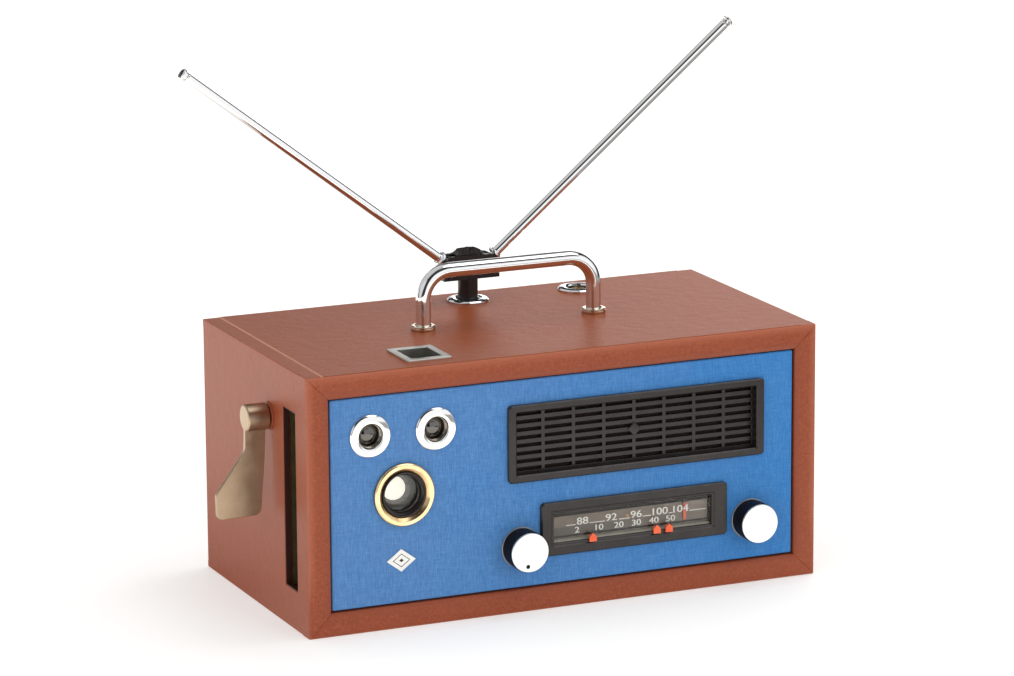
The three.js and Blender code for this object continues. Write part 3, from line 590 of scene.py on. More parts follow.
def make(name, vertices, faces, material, body="case", node=None, matrix=None, angle=32, weighted=False):
    """One piece from millimetre vertices, riding on body. It stands for the CAD node, where one is given."""
    bm = bmesh.new()
    made = [bm.verts.new(Vector(v) * MM) for v in vertices]
    for face in faces:
        if len(set(face)) > 2:
            bm.faces.new([made[k] for k in dict.fromkeys(face)])
    bmesh.ops.remove_doubles(bm, verts=bm.verts, dist=1e-7)
    bmesh.ops.recalc_face_normals(bm, faces=bm.faces)
    mesh = bpy.data.meshes.new(name)
    bm.to_mesh(mesh)
    bm.free()
    mesh.materials.append(material)
    smooth(mesh, angle)
    piece = bpy.data.objects.new(name, mesh)
    bpy.context.scene.collection.objects.link(piece)
    if matrix is not None:
        piece.matrix_world = matrix
    if weighted:
        weight_normals(piece)
    if body:
        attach(piece, body)
    if node:
        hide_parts(node)
    return piece


def smooth(mesh, angle=32):
    """Smooth shading, with a sharp line along each edge that turns by more than the angle in degrees."""
    mesh.shade_smooth()
    mesh.set_sharp_from_angle(angle=math.radians(angle))


def weight_normals(piece):
    modifier = piece.modifiers.new("normals", "WEIGHTED_NORMAL")
    modifier.keep_sharp = True


def bevel(piece, width, limit):
    """A small round, width millimetres wide, on edges sharper than limit degrees."""
    modifier = piece.modifiers.new("bevel", "BEVEL")
    modifier.width = width * MM
    modifier.segments = 2
    modifier.limit_method = "ANGLE"
    modifier.angle_limit = math.radians(limit)


def finish_node(node, material):
    """Gives its finish to a CAD node whose shape is right."""
    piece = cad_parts[node]
    piece.data.materials.clear()
    piece.data.materials.append(material)
    smooth(piece.data)
    return piece


def soften(node, material, width):
    """The same, with a small round on its sharp edges."""
    piece = finish_node(node, material)
    bevel(piece, width, 35)
    weight_normals(piece)


def band(lower, upper):
    """The quads between two rings of vertex numbers."""
    return list(zip(lower, lower[1:] + lower[:1], upper[1:] + upper[:1], upper))


def lathe_mesh(profile, facets):
    """A piece turned about its own +Z, from (radius, height) points. Off the axis, the profile is a loop."""
    vertices, faces, rows = [], [], []
    for radius, height in profile:
        if radius < 1e-6:
            rows.append([len(vertices)] * facets)
            vertices.append((0, 0, height))
            continue
        rows.append(list(range(len(vertices), len(vertices) + facets)))
        for k in range(facets):
            a = 2 * math.pi * k / facets
            vertices.append((radius * math.cos(a), radius * math.sin(a), height))
    if profile[0][0] > 1e-6:
        rows.append(rows[0])
    for lower, upper in zip(rows, rows[1:]):
        faces += band(lower, upper)
    return vertices, faces


def turned(name, profile, material, facets=64, **options):
    return make(name, *lathe_mesh(profile, facets), material, **options)


AXES = {
    "x": lambda u, v, h: (h, u, v),
    "y": lambda u, v, h: (u, h, v),
    "z": lambda u, v, h: (u, v, h),
}


def plate_mesh(outlines, axis, stations):
    """A plate from an outer outline and its holes, through stations of (place along the axis, pull-in)."""
    vertices, faces, rings = [], [], []
    for height, pull in stations:
        row = []
        for outline in outlines:
            loop = outline(pull)
            row.append(list(range(len(vertices), len(vertices) + len(loop))))
            vertices.extend(AXES[axis](u, v, height) for u, v in loop)
        rings.append(row)
    for lower, upper in zip(rings, rings[1:]):
        for a, b in zip(lower, upper):
            faces += band(a, b)
    for ring, (height, pull) in ((rings[0], stations[0]), (rings[-1], stations[-1])):
        loops = [[Vector((u, v, 0)) for u, v in outline(pull)] for outline in outlines]
        flat = [k for loop in ring for k in loop]
        faces.extend(tuple(flat[k] for k in triangle) for triangle in tessellate_polygon(loops))
    return vertices, faces


def plate(name, outlines, axis, stations, material, **options):
    options.setdefault("weighted", True)
    return make(name, *plate_mesh(outlines, axis, stations), material, **options)


def tube_mesh(path, radius, facets, flat):
    """A solid rod along a path in one plane, whose normal is flat."""
    points = [Vector(p) for p in path]
    vertices, faces, rings = [], [], []
    for k, point in enumerate(points):
        along = (points[min(k + 1, len(points) - 1)] - points[max(k - 1, 0)]).normalized()
        side = flat.cross(along).normalized()
        rings.append(list(range(len(vertices), len(vertices) + facets)))
        for j in range(facets):
            a = 2 * math.pi * j / facets
            vertices.append(point + radius * (math.cos(a) * side + math.sin(a) * flat))
    for lower, upper in zip(rings, rings[1:]):
        faces += band(lower, upper)
    return vertices, faces + [rings[0], rings[-1]]


def evaluated_mesh(piece):
    """A piece's final mesh, with its modifiers applied."""
    bpy.context.view_layer.update()
    return bpy.data.meshes.new_from_object(piece.evaluated_get(bpy.context.evaluated_depsgraph_get()))


def carve(piece, vertices, faces, matrix):
    """Cuts a tool's mesh out of a piece."""
    tool = make("tool", vertices, faces, piece.data.materials[0], body=None, matrix=matrix)
    modifier = piece.modifiers.new("cut", "BOOLEAN")
    modifier.operation = "DIFFERENCE"
    modifier.solver = "EXACT"
    modifier.object = tool
    whole = piece.data
    cut = evaluated_mesh(piece)
    piece.modifiers.remove(modifier)
    piece.data = cut
    bpy.data.meshes.remove(whole)
    bpy.data.objects.remove(tool)
    cut.set_sharp_from_angle(angle=math.radians(32))


# ---------------------------------------------------------------- case

def make_front_frame(material):
    """The mitred border: one rounded section carried round four sides, with a crease at each mitre."""
    front, back = FRONT, FRAME_BACK
    section = fillet([
        (0, back), (0, front + 0.7, 1.2), (3.2, front, 6), (BORDER / 2, front, 60),
        (BORDER - 2.4, front + 0.1, 6), (BORDER, front + 1.2, 1.2), (BORDER, back),
    ])
    crease, depth = 0.5, 0.3
    ways = [Vector(way) for way in ((1, 0), (0, 1), (-1, 0), (0, -1))]
    vertices, rows = [], []
    for k, (sx, sz) in enumerate([(-1, -1), (1, -1), (1, 1), (-1, 1)]):
        for offset, sunk in ((-crease * ways[k - 1], 0), (Vector((0, 0)), depth), (crease * ways[k], 0)):
            rows.append(list(range(len(vertices), len(vertices) + len(section))))
            for u, y in section:
                on_edge = front + 0.4 < y < back - 1e-6
                u_in = u + on_edge * (sunk if u < BORDER / 2 else -sunk)
                y_in = y + (sunk if y <= front + 0.4 else 0)
                z = u_in if sz < 0 else TOP - COVER - u_in
                vertices.append((sx * (HALF_WIDTH - u_in) + offset.x, y_in, z + offset.y))
    faces = []
    for lower, upper in zip(rows, rows[1:] + rows[:1]):
        faces += band(lower, upper)
    make("front_frame_wrapped", vertices, faces, material, node="front_frame", angle=40, weighted=True)


def make_case(material, lining):
    top = TOP - COVER
    inside_top = TOP - BOARD
    wide, deep = (-HALF_WIDTH, HALF_WIDTH), (FRAME_BACK, REAR)
    hood_lip, eyelet_hole, lever_hole, sheet_metal = 3.3, 9.9, 3.6, 1.2
    hood = rectangle(*node_spans("finder_hood", "xy", hood_lip), FIXED)
    eyelets = [disc(centre.x, centre.y, eyelet_hole)
               for centre in (node_centre("aerial_eyelet"), node_centre("socket_eyelet"))]
    board = rectangle(wide, deep, (1, 1, 0, 1))
    plate("cabinet_top_wrapped", [board, hood, *eyelets], "z", rounded_levels(inside_top, top, 0, SHARP),
          material, node="cabinet_top")
    sheet = rectangle(inset(wide, SEAM), (FRONT + 1.4, REAR - 0.6))
    plate("top_sheet", [sheet, hood, *eyelets], "z", rounded_levels(top, TOP, 0, 0.2, 2), material)
    plate("cabinet_bottom_wrapped", [board], "z", rounded_levels(0, BOARD, SHARP, 0), material,
          node="cabinet_bottom")

    slot_y, slot_z = node_spans("side_slot_channel", "yz")
    slot_y, slot_z = inset(slot_y, sheet_metal), inset(slot_z, 1)
    lever = node_centre("lever_hub")
    side_holes = [soft_rectangle(slot_y, slot_z, 0.6, -1, 3), disc(lever.y, lever.z, lever_hole)]
    board = rectangle(deep, (BOARD, inside_top), (0, 1, 0, 0))
    levels = rounded_levels(HALF_WIDTH - BOARD, HALF_WIDTH, 0, 0.6)
    plate("cabinet_left_side_wrapped", [board, *side_holes], "x", mirrored(levels), material,
          node="cabinet_left_side")
    plate("cabinet_right_side_wrapped", [board], "x", levels, material, node="cabinet_right_side")
    # The slot's walls through the board are covered in a dark reddish brown, far darker than the
    # leatherette.
    liner = [soft_rectangle(inset(slot_y, by), inset(slot_z, by), radius, 0, 3)
             for by, radius in ((0.02, 0.58), (0.6, 0.05))]
    plate("slot_lining", liner, "x", [(-HALF_WIDTH + 0.4, 0), (-HALF_WIDTH + 4.4, 0)], lining)

    for k, (y, z) in enumerate([(80, 169.5), (6, 170), (-74, 167), (77, 8), (5, 7)]):
        make_nail(f"covered_nail_{k + 1}", y, z, material)


def make_nail(name, y, z, material):
    """A nail head under the covering of the left side: a low oval swelling."""
    profile = [(0, 0.32), (0.8, 0.28), (1.5, 0.13), (2.0, 0.02), (2.1, -0.2), (0, -0.2)]
    vertices, faces = lathe_mesh(profile, 20)
    oval = [(0.75 * a, 1.25 * b, h) for a, b, h in vertices]
    make(name, oval, faces, material, matrix=facing("left", -HALF_WIDTH + 0.1, y, z), angle=80)


def make_back(material, steel):
    low, high = node_box("back_cover")
    grille = node_centre("speaker_grille")
    vents = [soft_rectangle(centred(grille.x + (k - 5.5) * 9, 3.5), centred(grille.z, 50), 1.7, -1)
             for k in range(12)]
    plate("back_cover_wrapped", [rectangle(*node_spans("back_cover")), *vents], "y",
          rounded_levels(low.y, high.y, 0, 0.7), material, node="back_cover")
    for k, (x, z) in enumerate([(-172, 16), (172, 16), (-172, 162), (172, 162)]):
        make_screw(f"back_screw_{k + 1}", facing("back", x, high.y, z), steel)


def make_screw(name, matrix, steel):
    head = fillet([
        (0, 0.1), (3.9, 0.1), (3.9, 0.5, 0.2), (3.4, 1.0, 0.3), (3.0, 1.0), (2.9, 1.9, 0.6), (0, 2.3),
    ])
    screw = turned(name, head, steel, facets=40, matrix=matrix)
    cut = plate_mesh([rectangle((-3.2, 3.2), (-0.4, 0.4))], "z", [(1.3, 0), (3, 0)])
    carve(screw, *cut, matrix)


def make_panel(material):
    holes = [disc(node_centre(n).x, node_centre(n).z, r) for n, r in (
        ("finder_eyelet_left", 10), ("finder_eyelet_right", 10), ("brass_lens_ring", 16),
        ("volume_knob", 4.9), ("tuning_knob", 4.9))]
    for node, margin in (("speaker_grille", 4), ("dial_bezel", 5.5)):
        holes.append(rectangle(*node_spans(node, "xz", margin), FIXED))
    outline = soft_rectangle(*node_spans("front_panel"), 1.2)
    plate("front_panel_covered", [outline, *holes], "y",
          mirrored(rounded_levels(-PANEL_HIGH.y, -FACE, 0, 1.1, 4)), material, node="front_panel")


def make_badge(enamel, ink):
    centre = node_centre("badge_plate")
    low, high = node_box("badge_plate")
    half_u, half_v = (high.x - low.x) / 2, (high.z - low.z) / 2

    def rhombus(grow, sign=1):
        def outline(t):
            k = grow - sign * t / half_v
            return [(centre.x - half_u * k, centre.z), (centre.x, centre.z - half_v * k),
                    (centre.x + half_u * k, centre.z), (centre.x, centre.z + half_v * k)]
        return outline

    plate("badge_enamel", [rhombus(1)], "y", mirrored(rounded_levels(-high.y, -low.y, 0, 0.15, 2)), enamel,
          node="badge_plate")
    face = [(low.y + 0.05, 0), (low.y - 0.04, 0)]
    plate("badge_line", [rhombus(0.6), rhombus(0.53, -1)], "y", face, ink)
    plate("badge_dot", [rhombus(0.16)], "y", face, ink)


# ---------------------------------------------------------------- lenses and finder

EYELET = fillet([
    (8.3, -9), (9.6, -9), (9.6, 0.2), (14.6, 0.2), (14.6, 0.9, 0.3), (13.6, 1.75, 0.5), (10.6, 2.15, 0.8),
    (8.9, 1.9, 0.5), (8.3, 0.9, 0.4),
], closed=True)


def make_eyelets(chrome, nickel):
    """Four rings of one pattern. The socket's has an inner cup."""
    for node, place in (("finder_eyelet_left", on_front), ("finder_eyelet_right", on_front),
                        ("aerial_eyelet", on_top), ("socket_eyelet", on_top)):
        turned(node + "_turned", EYELET, chrome, facets=96, node=node, matrix=place(node))
    cup = fillet([(0, -9), (8.25, -9), (8.25, -1), (7.7, -1), (7.7, -7.6, 1.5), (0, -8)])
    turned("socket_cup", cup, nickel, matrix=on_top("socket_eyelet"))


def dome_profile(radius, height, base, edge):
    """A plano-convex lens: flat behind at base, domed in front, with a short straight edge."""
    rise = height - edge
    bend = (radius ** 2 + rise ** 2) / (2 * rise)
    spread = math.asin(radius / bend)
    points = [(0, base), (radius, base)]
    for k in range(12):
        a = spread * (1 - k / 12)
        points.append((bend * math.sin(a), base + height - bend * (1 - math.cos(a))))
    return points + [(0, base + height)]


def make_finder_lenses(glass, cell):
    dome = dome_profile(radius=7.6, height=3.6, base=-5.6, edge=0.4)
    well = fillet([
        (8.25, -8.8), (8.25, -0.6), (8.05, -0.5), (8.05, -1.4), (7.8, -1.6, 0.1), (7.8, -2.5),
        (7.6, -2.7, 0.1), (7.6, -8.2), (0, -8.4), (0, -8.8),
    ])
    for side in ("left", "right"):
        node = f"finder_lens_{side}"
        turned(node + "_ground", dome, glass, node=node, matrix=on_front(node))
        turned(f"finder_well_{side}", well, cell, facets=80, matrix=on_front(node))


def make_main_lens(brass, black, grey, glass, lit_glass):
    matrix = on_front("brass_lens_ring")
    ring = fillet([
        (15.7, 0.3), (21.6, 0.3), (21.6, 2.2, 0.7), (20.6, 3.2, 0.5), (18.3, 3.1, 0.4), (15.7, 0.9, 0.2),
    ], closed=True)
    turned("brass_ring_turned", ring, brass, facets=120, node="brass_lens_ring", matrix=matrix)

    barrel = [(12.9, -40), (15.4, -40), (15.4, 1.3), (15.1, 1.6), (14.5, 1.6), (14.3, 1.2)]
    for k in range(3):
        h = 0.8 - 0.7 * k
        barrel += [(14.2 - 0.25 * k, h), (13.8 - 0.25 * k, h - 0.3)]
    barrel += [(13.2, -1.5), (12.6, -2.3), (12.4, -2.8), (12.4, -3.6), (12.9, -4.2)]
    turned("lens_barrel_threaded", barrel, black, facets=96, node="lens_barrel", matrix=matrix)
    turned("lens_glass_ground", dome_profile(radius=12.2, height=3.4, base=-9.6, edge=1.8), glass, facets=80,
           node="lens_glass", matrix=matrix)
    cell = fillet([(12.8, -18.6), (12.8, -10.2), (12.3, -10.4), (7.2, -16.8), (7.2, -18.6)], closed=True)
    turned("lens_rear_cell", cell, grey, facets=80, matrix=matrix)
    turned("lens_rear_disc", [(0, -18.4), (7.1, -18.4), (7.1, -17.0), (0, -16.8)], lit_glass, matrix=matrix)


def make_hood(satin):
    low, high = node_box("finder_hood")
    border, wall = 5, 1.5
    inner = node_spans("finder_hood", "xy", border)
    outer = node_spans("finder_hood", "xy", border - wall)
    flange = [soft_rectangle(*node_spans("finder_hood", "xy"), 1.2), soft_rectangle(*inner, 0.6, -1, 3)]
    plate("finder_hood_flange", flange, "z", rounded_levels(TOP + 0.1, high.z, 0, 0.4), satin,
          node="finder_hood")
    walls = [soft_rectangle(*outer, 1.4, 0, 3), soft_rectangle(*inner, 0.6, 0, 3)]
    plate("finder_hood_walls", walls, "z", [(low.z, 0), (TOP + 0.3, 0)], satin)


# ---------------------------------------------------------------- loudspeaker

def make_grille(black):
    low, high = node_box("speaker_grille")
    centre = (low + high) / 2
    opening = (centred(centre.x, 179.2), centred(centre.z, 43.3))
    lattice_front, lattice_back = FACE + 3.9, FACE + 5.9
    rim = [soft_rectangle(*node_spans("speaker_grille"), 2.6), soft_rectangle(*opening, 0.8, -1, 4)]
    plate("grille_bezel", rim, "y", mirrored(chamfered_levels(-FACE + 0.1, -low.y, 0.8)), black,
          node="speaker_grille", weighted=False)
    sleeve = [soft_rectangle(*(inset(span, -1.5) for span in opening), 1.6, 0, 4),
              soft_rectangle(*opening, 0.8, 0, 4)]
    plate("grille_sleeve", sleeve, "y", [(lattice_back + 1, 0), (FACE + 0.2, 0)], black)
    x_bars = bars(centre.x, count=8, pitch=22.5, gap=20, span=opening[0])
    z_bars = bars(centre.z, count=8, pitch=5.45, gap=2.5, span=opening[1])
    lattice = make("grille_lattice", *lattice_mesh(x_bars, z_bars, lattice_front, lattice_back), black)
    bevel(lattice, 0.22, 30)
    boss = fillet([(0, -6), (4.9, -6), (4.9, -3.2, 0.4), (0, -3.2)])
    turned("grille_boss", boss, black, facets=4, matrix=on_front("speaker_grille"))


def bars(middle, count, pitch, gap, span):
    """Stations across a slotted plate, as (start, end, solid)."""
    edges = [span[0] - 0.6]
    for k in range(count):
        start = middle + (k - (count - 1) / 2) * pitch - gap / 2
        edges += [start, start + gap]
    edges.append(span[1] + 0.6)
    return [(a, b, k % 2 == 0) for k, (a, b) in enumerate(zip(edges, edges[1:]))]


def lattice_mesh(columns, rows, front, back):
    """A closed slotted plate, built cell by cell so that every bar shares its corners with the next."""
    solid = {(i, j) for i, column in enumerate(columns) for j, row in enumerate(rows) if column[2] or row[2]}
    xs = [columns[0][0]] + [c[1] for c in columns]
    zs = [rows[0][0]] + [r[1] for r in rows]
    vertices = [(x, y, z) for y in (front, back) for x in xs for z in zs]
    stride, layer = len(zs), len(xs) * len(zs)
    faces = []
    for i, j in solid:
        a, b = i * stride + j, (i + 1) * stride + j
        c, d = b + 1, a + 1
        faces += [(a, b, c, d), (a + layer, d + layer, c + layer, b + layer)]
        sides = ((a, b, i, j - 1), (b, c, i + 1, j), (c, d, i, j + 1), (d, a, i - 1, j))
        faces += [(p, q, q + layer, p + layer) for p, q, *near in sides if tuple(near) not in solid]
    return vertices, faces


# ---------------------------------------------------------------- dial

DIAL_WIDE, DIAL_TALL = (-10.2, 107.9), (45.2, 66.0)  # the bezel's opening, across and up
# each figure of the two rows with its x, and the dashes between the rows, from x to x
ROW_HIGH = [("88", 12.4), ("92", 33.8), ("96", 52.5), ("100", 70.6), ("104", 86.2)]
ROW_LOW = [("2", 8.4), ("10", 25.0), ("20", 39.5), ("30", 52.7), ("40", 65.8), ("50", 78.4)]
DASH_TALL = (55.6, 56.15)
DASHES = [(0.2, 7.2), (17.6, 29.0), (39.5, 47.5), (57.5, 63.8), (76.9, 79.9), (92.7, 105.3)]


def make_dial(black, clear_pane, sill_metal, print_white, print_amber):
    rim_height, step_height, step_width = 3, 2.3, 1.6
    step = [inset(span, -step_width) for span in (DIAL_WIDE, DIAL_TALL)]
    rim = [soft_rectangle(*node_spans("dial_bezel"), 2.6), soft_rectangle(*step, 1.0, -1, 4)]
    plate("dial_bezel_rim", rim, "y", mirrored(chamfered_levels(-FACE + 0.1, rim_height - FACE, 0.7)),
          black, node="dial_bezel", weighted=False)
    ledge = [soft_rectangle(*step, 1.0, -0.2, 4), soft_rectangle(DIAL_WIDE, DIAL_TALL, 0.5, -1, 3)]
    plate("dial_bezel_step", ledge, "y", mirrored(chamfered_levels(-FACE - 5.9, step_height - FACE, 0.5)),
          black, weighted=False)
    low, high = node_box("dial_window")
    plate("dial_pane", [soft_rectangle(*node_spans("dial_window"), 0.5)], "y",
          mirrored(rounded_levels(-high.y, -low.y, 0.15, 0.15, 2)), clear_pane, node="dial_window")
    # Painted shade: a black strip above the scale, and a black sheet behind it, darken the window's upper
    # band and hide the cabinet's inside.
    plate("dial_shade_strip", [rectangle(DIAL_WIDE, (SCALE_HIGH.z + 2.2, DIAL_TALL[1] + 1))], "y",
          [(SCALE_LOW.y - 0.2, 0), (SCALE_HIGH.y, 0)], black)
    plate("dial_shade_sheet", [rectangle(DIAL_WIDE, (SCALE_HIGH.z - 4, DIAL_TALL[1] + 4))], "y",
          [(FACE + 14.4, 0), (FACE + 14.9, 0)], black)
    make_sill(sill_metal)
    make_print(print_white, print_amber)


def make_sill(metal):
    """The sloping strip under the scale, with seven ribs."""
    ribs = 7
    front, back, sill = FACE + 0.6, SCALE_LOW.y - 0.1, DIAL_TALL[0]
    profile = []
    for k in range(ribs):
        for u, lift in ((0, 0), (0.15, 0.22), (0.55, 0.22), (0.7, 0)):
            along = (k + u) / ribs
            profile.append((front + (back - front) * along, sill + 0.05 + 1.7 * along + lift))
    profile += [(back, sill + 1.75), (back, sill - 0.6), (front, sill - 0.6)]
    ends = inset(DIAL_WIDE, -0.4)
    plate("dial_sill", [lambda t: profile], "x", [(ends[0], 0), (ends[1], 0)], metal, angle=20)


def text_mesh(words, height, width_factor=1.27):
    """The outline of a number as a thin solid, centred, standing in the XZ plane."""
    curve = bpy.data.curves.new("figure", "FONT")
    curve.body = words
    curve.size = 1.0
    curve.extrude = 0.02
    curve.resolution_u = 6
    holder = bpy.data.objects.new("figure", curve)
    bpy.context.scene.collection.objects.link(holder)
    mesh = evaluated_mesh(holder)
    bpy.data.objects.remove(holder)
    bpy.data.curves.remove(curve)
    across = [v.co.x for v in mesh.vertices]
    upright = [v.co.y for v in mesh.vertices]
    scale = height / (max(upright) - min(upright))
    middle_u, middle_v = (max(across) + min(across)) / 2, (max(upright) + min(upright)) / 2
    vertices = [((v.co.x - middle_u) * scale * width_factor, v.co.z, (v.co.y - middle_v) * scale)
                for v in mesh.vertices]
    faces = [tuple(p.vertices) for p in mesh.polygons]
    bpy.data.meshes.remove(mesh)
    return vertices, faces


def make_print(white, amber):
    """All the scale's figures and dashes, printed on the back of the pane."""
    vertices, faces = [], []
    middle = node_box("dial_window")[1].y + 0.08
    layer = [(middle + 0.05, 0), (middle - 0.05, 0)]

    def add(new_vertices, new_faces):
        base = len(vertices)
        vertices.extend(new_vertices)
        faces.extend(tuple(base + k for k in face) for face in new_faces)

    for row, z, height in ((ROW_HIGH, 58.0, 4.9), (ROW_LOW, 52.1, 4.1)):
        for words, x in row:
            figure, outline = text_mesh(words, height)
            # drawn twice, a little apart, which thickens the font's upright strokes
            for shift, depth in ((-0.11, 0.05), (0.11, 0.06)):
                add([(x + u + shift, middle + (depth if y > 0 else -depth), z + v) for u, y, v in figure],
                    outline)
    for dash in DASHES:
        add(*plate_mesh([rectangle(dash, DASH_TALL)], "y", layer))
    make("dial_print", vertices, faces, white)
    make("dial_dot", *plate_mesh([disc(45.9, 57.7, 0.8, 24)], "y", layer), amber)


def make_pointer(orange, black):
    """The needle hangs in front of the scale from a carriage hidden behind the bezel's upper edge."""
    low, high = node_box("dial_pointer")
    centre = (low + high) / 2
    needle_width, arm_width, carriage_height = 2.1, 3, 5.5
    needle = [rectangle(centred(centre.x, needle_width), (low.z, SCALE_HIGH.z - 0.2))]
    plate("dial_needle", needle, "y", rounded_levels(low.y, low.y + 0.8, 0.15, 0.15, 2), orange,
          body="dial_pointer", node="dial_pointer")
    arm = [rectangle(centred(centre.x, arm_width), (SCALE_HIGH.z - 0.2, high.z - 0.5))]
    plate("dial_pointer_arm", arm, "y", [(low.y + 0.1, 0), (high.y - 2, 0)], black, body="dial_pointer")
    carriage = [rectangle((low.x, high.x), (high.z - carriage_height, high.z))]
    plate("dial_pointer_carriage", carriage, "y", rounded_levels(high.y - 3, high.y, 0.3, 0.3, 2), black,
          body="dial_pointer")


# ---------------------------------------------------------------- knobs

def make_knobs(black, aluminium, steel, dull):
    for name in ("volume", "tuning"):
        body = f"{name}_knob"
        matrix = on_front(body)
        tip = FACE - node_box(f"{body}_cap")[0].y
        skirt = fillet([
            (0, 11), (3.4, 11), (3.4, 1.5), (12.6, 1.5), (13.4, 1.9, 0.5), (13.8, 3.6, 1.0),
            (13.85, 12.6, 0.4), (13.85, tip - 1.7, 0.4), (13.3, tip - 1.2, 0.2), (0, tip - 1.2),
        ])
        turned(f"{body}_body", skirt, black, facets=96, body=body, node=body, matrix=matrix)
        cap = fillet([
            (0, tip - 1.3), (13.2, tip - 1.3), (13.5, tip - 1.15, 0.1), (13.5, tip - 0.35, 0.25),
            (13.0, tip, 0.3), (12.0, tip - 0.02), (0, tip - 0.1),
        ])
        face = turned(f"{body}_face", cap, aluminium, facets=96, body=body, node=f"{body}_cap",
                      matrix=matrix)
        if name == "volume":
            pit = matrix @ Matrix.Translation(Vector((-1.7, -9.5, tip)) * MM)
            carve(face, *lathe_mesh([(0, -0.8), (1.35, -0.8), (1.5, -0.6), (1.5, 1), (0, 1)], 32), pit)
            ink = fillet([(0, -0.8), (1.48, -0.8), (1.48, -0.12, 0.1), (1.2, -0.2), (0, -0.45)])
            turned("volume_knob_index", ink, black, facets=32, body=body, matrix=pit)
        washer = fillet([(5, 0.1), (14.2, 0.1), (14.2, 0.6, 0.25), (13.6, 0.8, 0.2), (5, 0.8)], closed=True)
        turned(f"{body}_washer", washer, dull, facets=80, matrix=matrix)
        turned(f"{name}_shaft_turned", fillet([(0, -14), (3, -14), (3, 10.5, 0.4), (0, 10.5)]), steel,
               facets=32, body=body, node=f"{name}_shaft", matrix=matrix)


# ---------------------------------------------------------------- left side

def make_lever(bronze, black, skin):
    low, high = node_box("lever_hub")
    y, z = node_centre("lever_hub").y, node_centre("lever_hub").z
    outer, inner, radius = low.x, -189.6, (high.z - low.z) / 2
    length = inner - outer
    profile = fillet([
        (0, -20), (3, -20), (3, 0), (radius - 0.5, 0), (radius, 0.5, 0.3), (radius, length - 0.7, 0.6),
        (radius - 0.9, length, 0.3), (0, length),
    ])
    hub = turned("lever_hub_turned", profile, bronze, facets=80, body="side_lever", node="lever_hub",
                 matrix=facing("left", inner, y, z))
    drill = facing("down", outer + length * 0.58, y, z) @ Matrix.Rotation(math.radians(38), 4, "X")
    carve(hub, *lathe_mesh([(0, 6.2), (1.3, 6.2), (1.3, 12), (0, 12)], 24), drill)
    turned("lever_set_screw", fillet([(0, 5.4), (1.2, 5.4), (1.2, 6.6, 0.2), (0, 6.6)]), black, facets=24,
           body="side_lever", matrix=drill)
    washer = fillet([(3.4, 0.1), (9.7, 0.1), (9.7, 1.1, 0.4), (3.4, 1.1)], closed=True)
    turned("lever_washer", washer, skin, matrix=facing("left", -HALF_WIDTH, y, z))

    tang = z - radius + 4.8
    loop = fillet([
        (outer, tang), (outer - 0.6, 115, 8), (-223.8, 90.5), (-226.45, 86.5, 5), (-226.1, 69.5, 4.2),
        (-194.9, 70.3, 5), (-191.4, 110, 40), (inner - 0.8, tang),
    ], steps=8, closed=True)
    blade_low, blade_high = node_box("lever_blade")
    plate("lever_paddle", [lambda t: shrink(loop, t)], "y",
          rounded_levels(blade_low.y, blade_high.y, 0.35, 0.35), bronze, body="side_lever",
          node="lever_blade")


# ---------------------------------------------------------------- handle

def make_handle(chrome, nickel):
    low, high = node_box("handle_bow")
    centre = (low + high) / 2
    radius = (high.y - low.y) / 2
    reach, bend = (high.x - low.x) / 2 - radius, 19.5
    crest = high.z - radius
    half = [(reach, low.z), (reach, crest - bend - 1), *arc(reach - bend, crest - bend, bend, 0, 90, 18),
            (reach - bend - 1, crest)]
    path = [(centre.x - u, centre.y, v) for u, v in half]
    path += [(centre.x + u, centre.y, v) for u, v in reversed(half)]
    make("handle_bow_drawn", *tube_mesh(path, radius, 48, Y), chrome, node="handle_bow", angle=50)
    collar = fillet([
        (5.2, 0.1), (8.2, 0.1), (8.3, 0.3), (8.3, 1.9, 0.25), (7.9, 2.15), (7.9, 2.3), (8.3, 2.55),
        (8.3, 3.1, 0.25), (7.6, 3.4, 0.2), (5.9, 3.4, 0.3), (5.2, 3.0),
    ], closed=True)
    for node in ("handle_collar_left", "handle_collar_right"):
        turned(node + "_turned", collar, nickel, facets=72, node=node, matrix=on_top(node))


# ---------------------------------------------------------------- aerial

ROD_LENGTH = 247  # pushed in, from the pivot to the end of the tip's cap
ELEVATIONS = {"left": 37.7, "right": 39.9}  # degrees above level


def make_mast(black, chrome):
    low, high = node_box("aerial_post")
    centre = (low + high) / 2
    r = 7.05  # of the post, above its foot
    post = fillet([
        (0, low.z), (10.5, low.z), (10.5, low.z + 2.5, 0.4), (r, low.z + 2.5), (r, TOP + 2.6, 0.3),
        (r - 0.35, TOP + 3.0), (r - 0.35, TOP + 3.4), (r, TOP + 3.8, 0.3), (r, high.z), (0, high.z),
    ])
    turned("aerial_post_turned", post, black, body="aerial_mast", node="aerial_post",
           matrix=facing("top", centre.x, centre.y, 0))
    soften("aerial_head", black, 0.5)
    make("aerial_head_knurled", *knurled_mesh(*node_box("aerial_head_cap")), black, body="aerial_mast",
         node="aerial_head_cap", angle=25)
    rivet = fillet([(0, 0), (3.3, 0), (3.3, 0.5, 0.2), (2.6, 0.95, 0.3), (0, 1.1)])
    for side, x in PIVOTS.items():
        for end, y in (("front", HEAD_MIDDLE.y - 7.6), ("back", HEAD_MIDDLE.y + 7.6)):
            turned(f"aerial_rivet_{side}_{end}", rivet, chrome, facets=40, body="aerial_mast",
                   matrix=facing(end, x, y, PIVOT_Z))


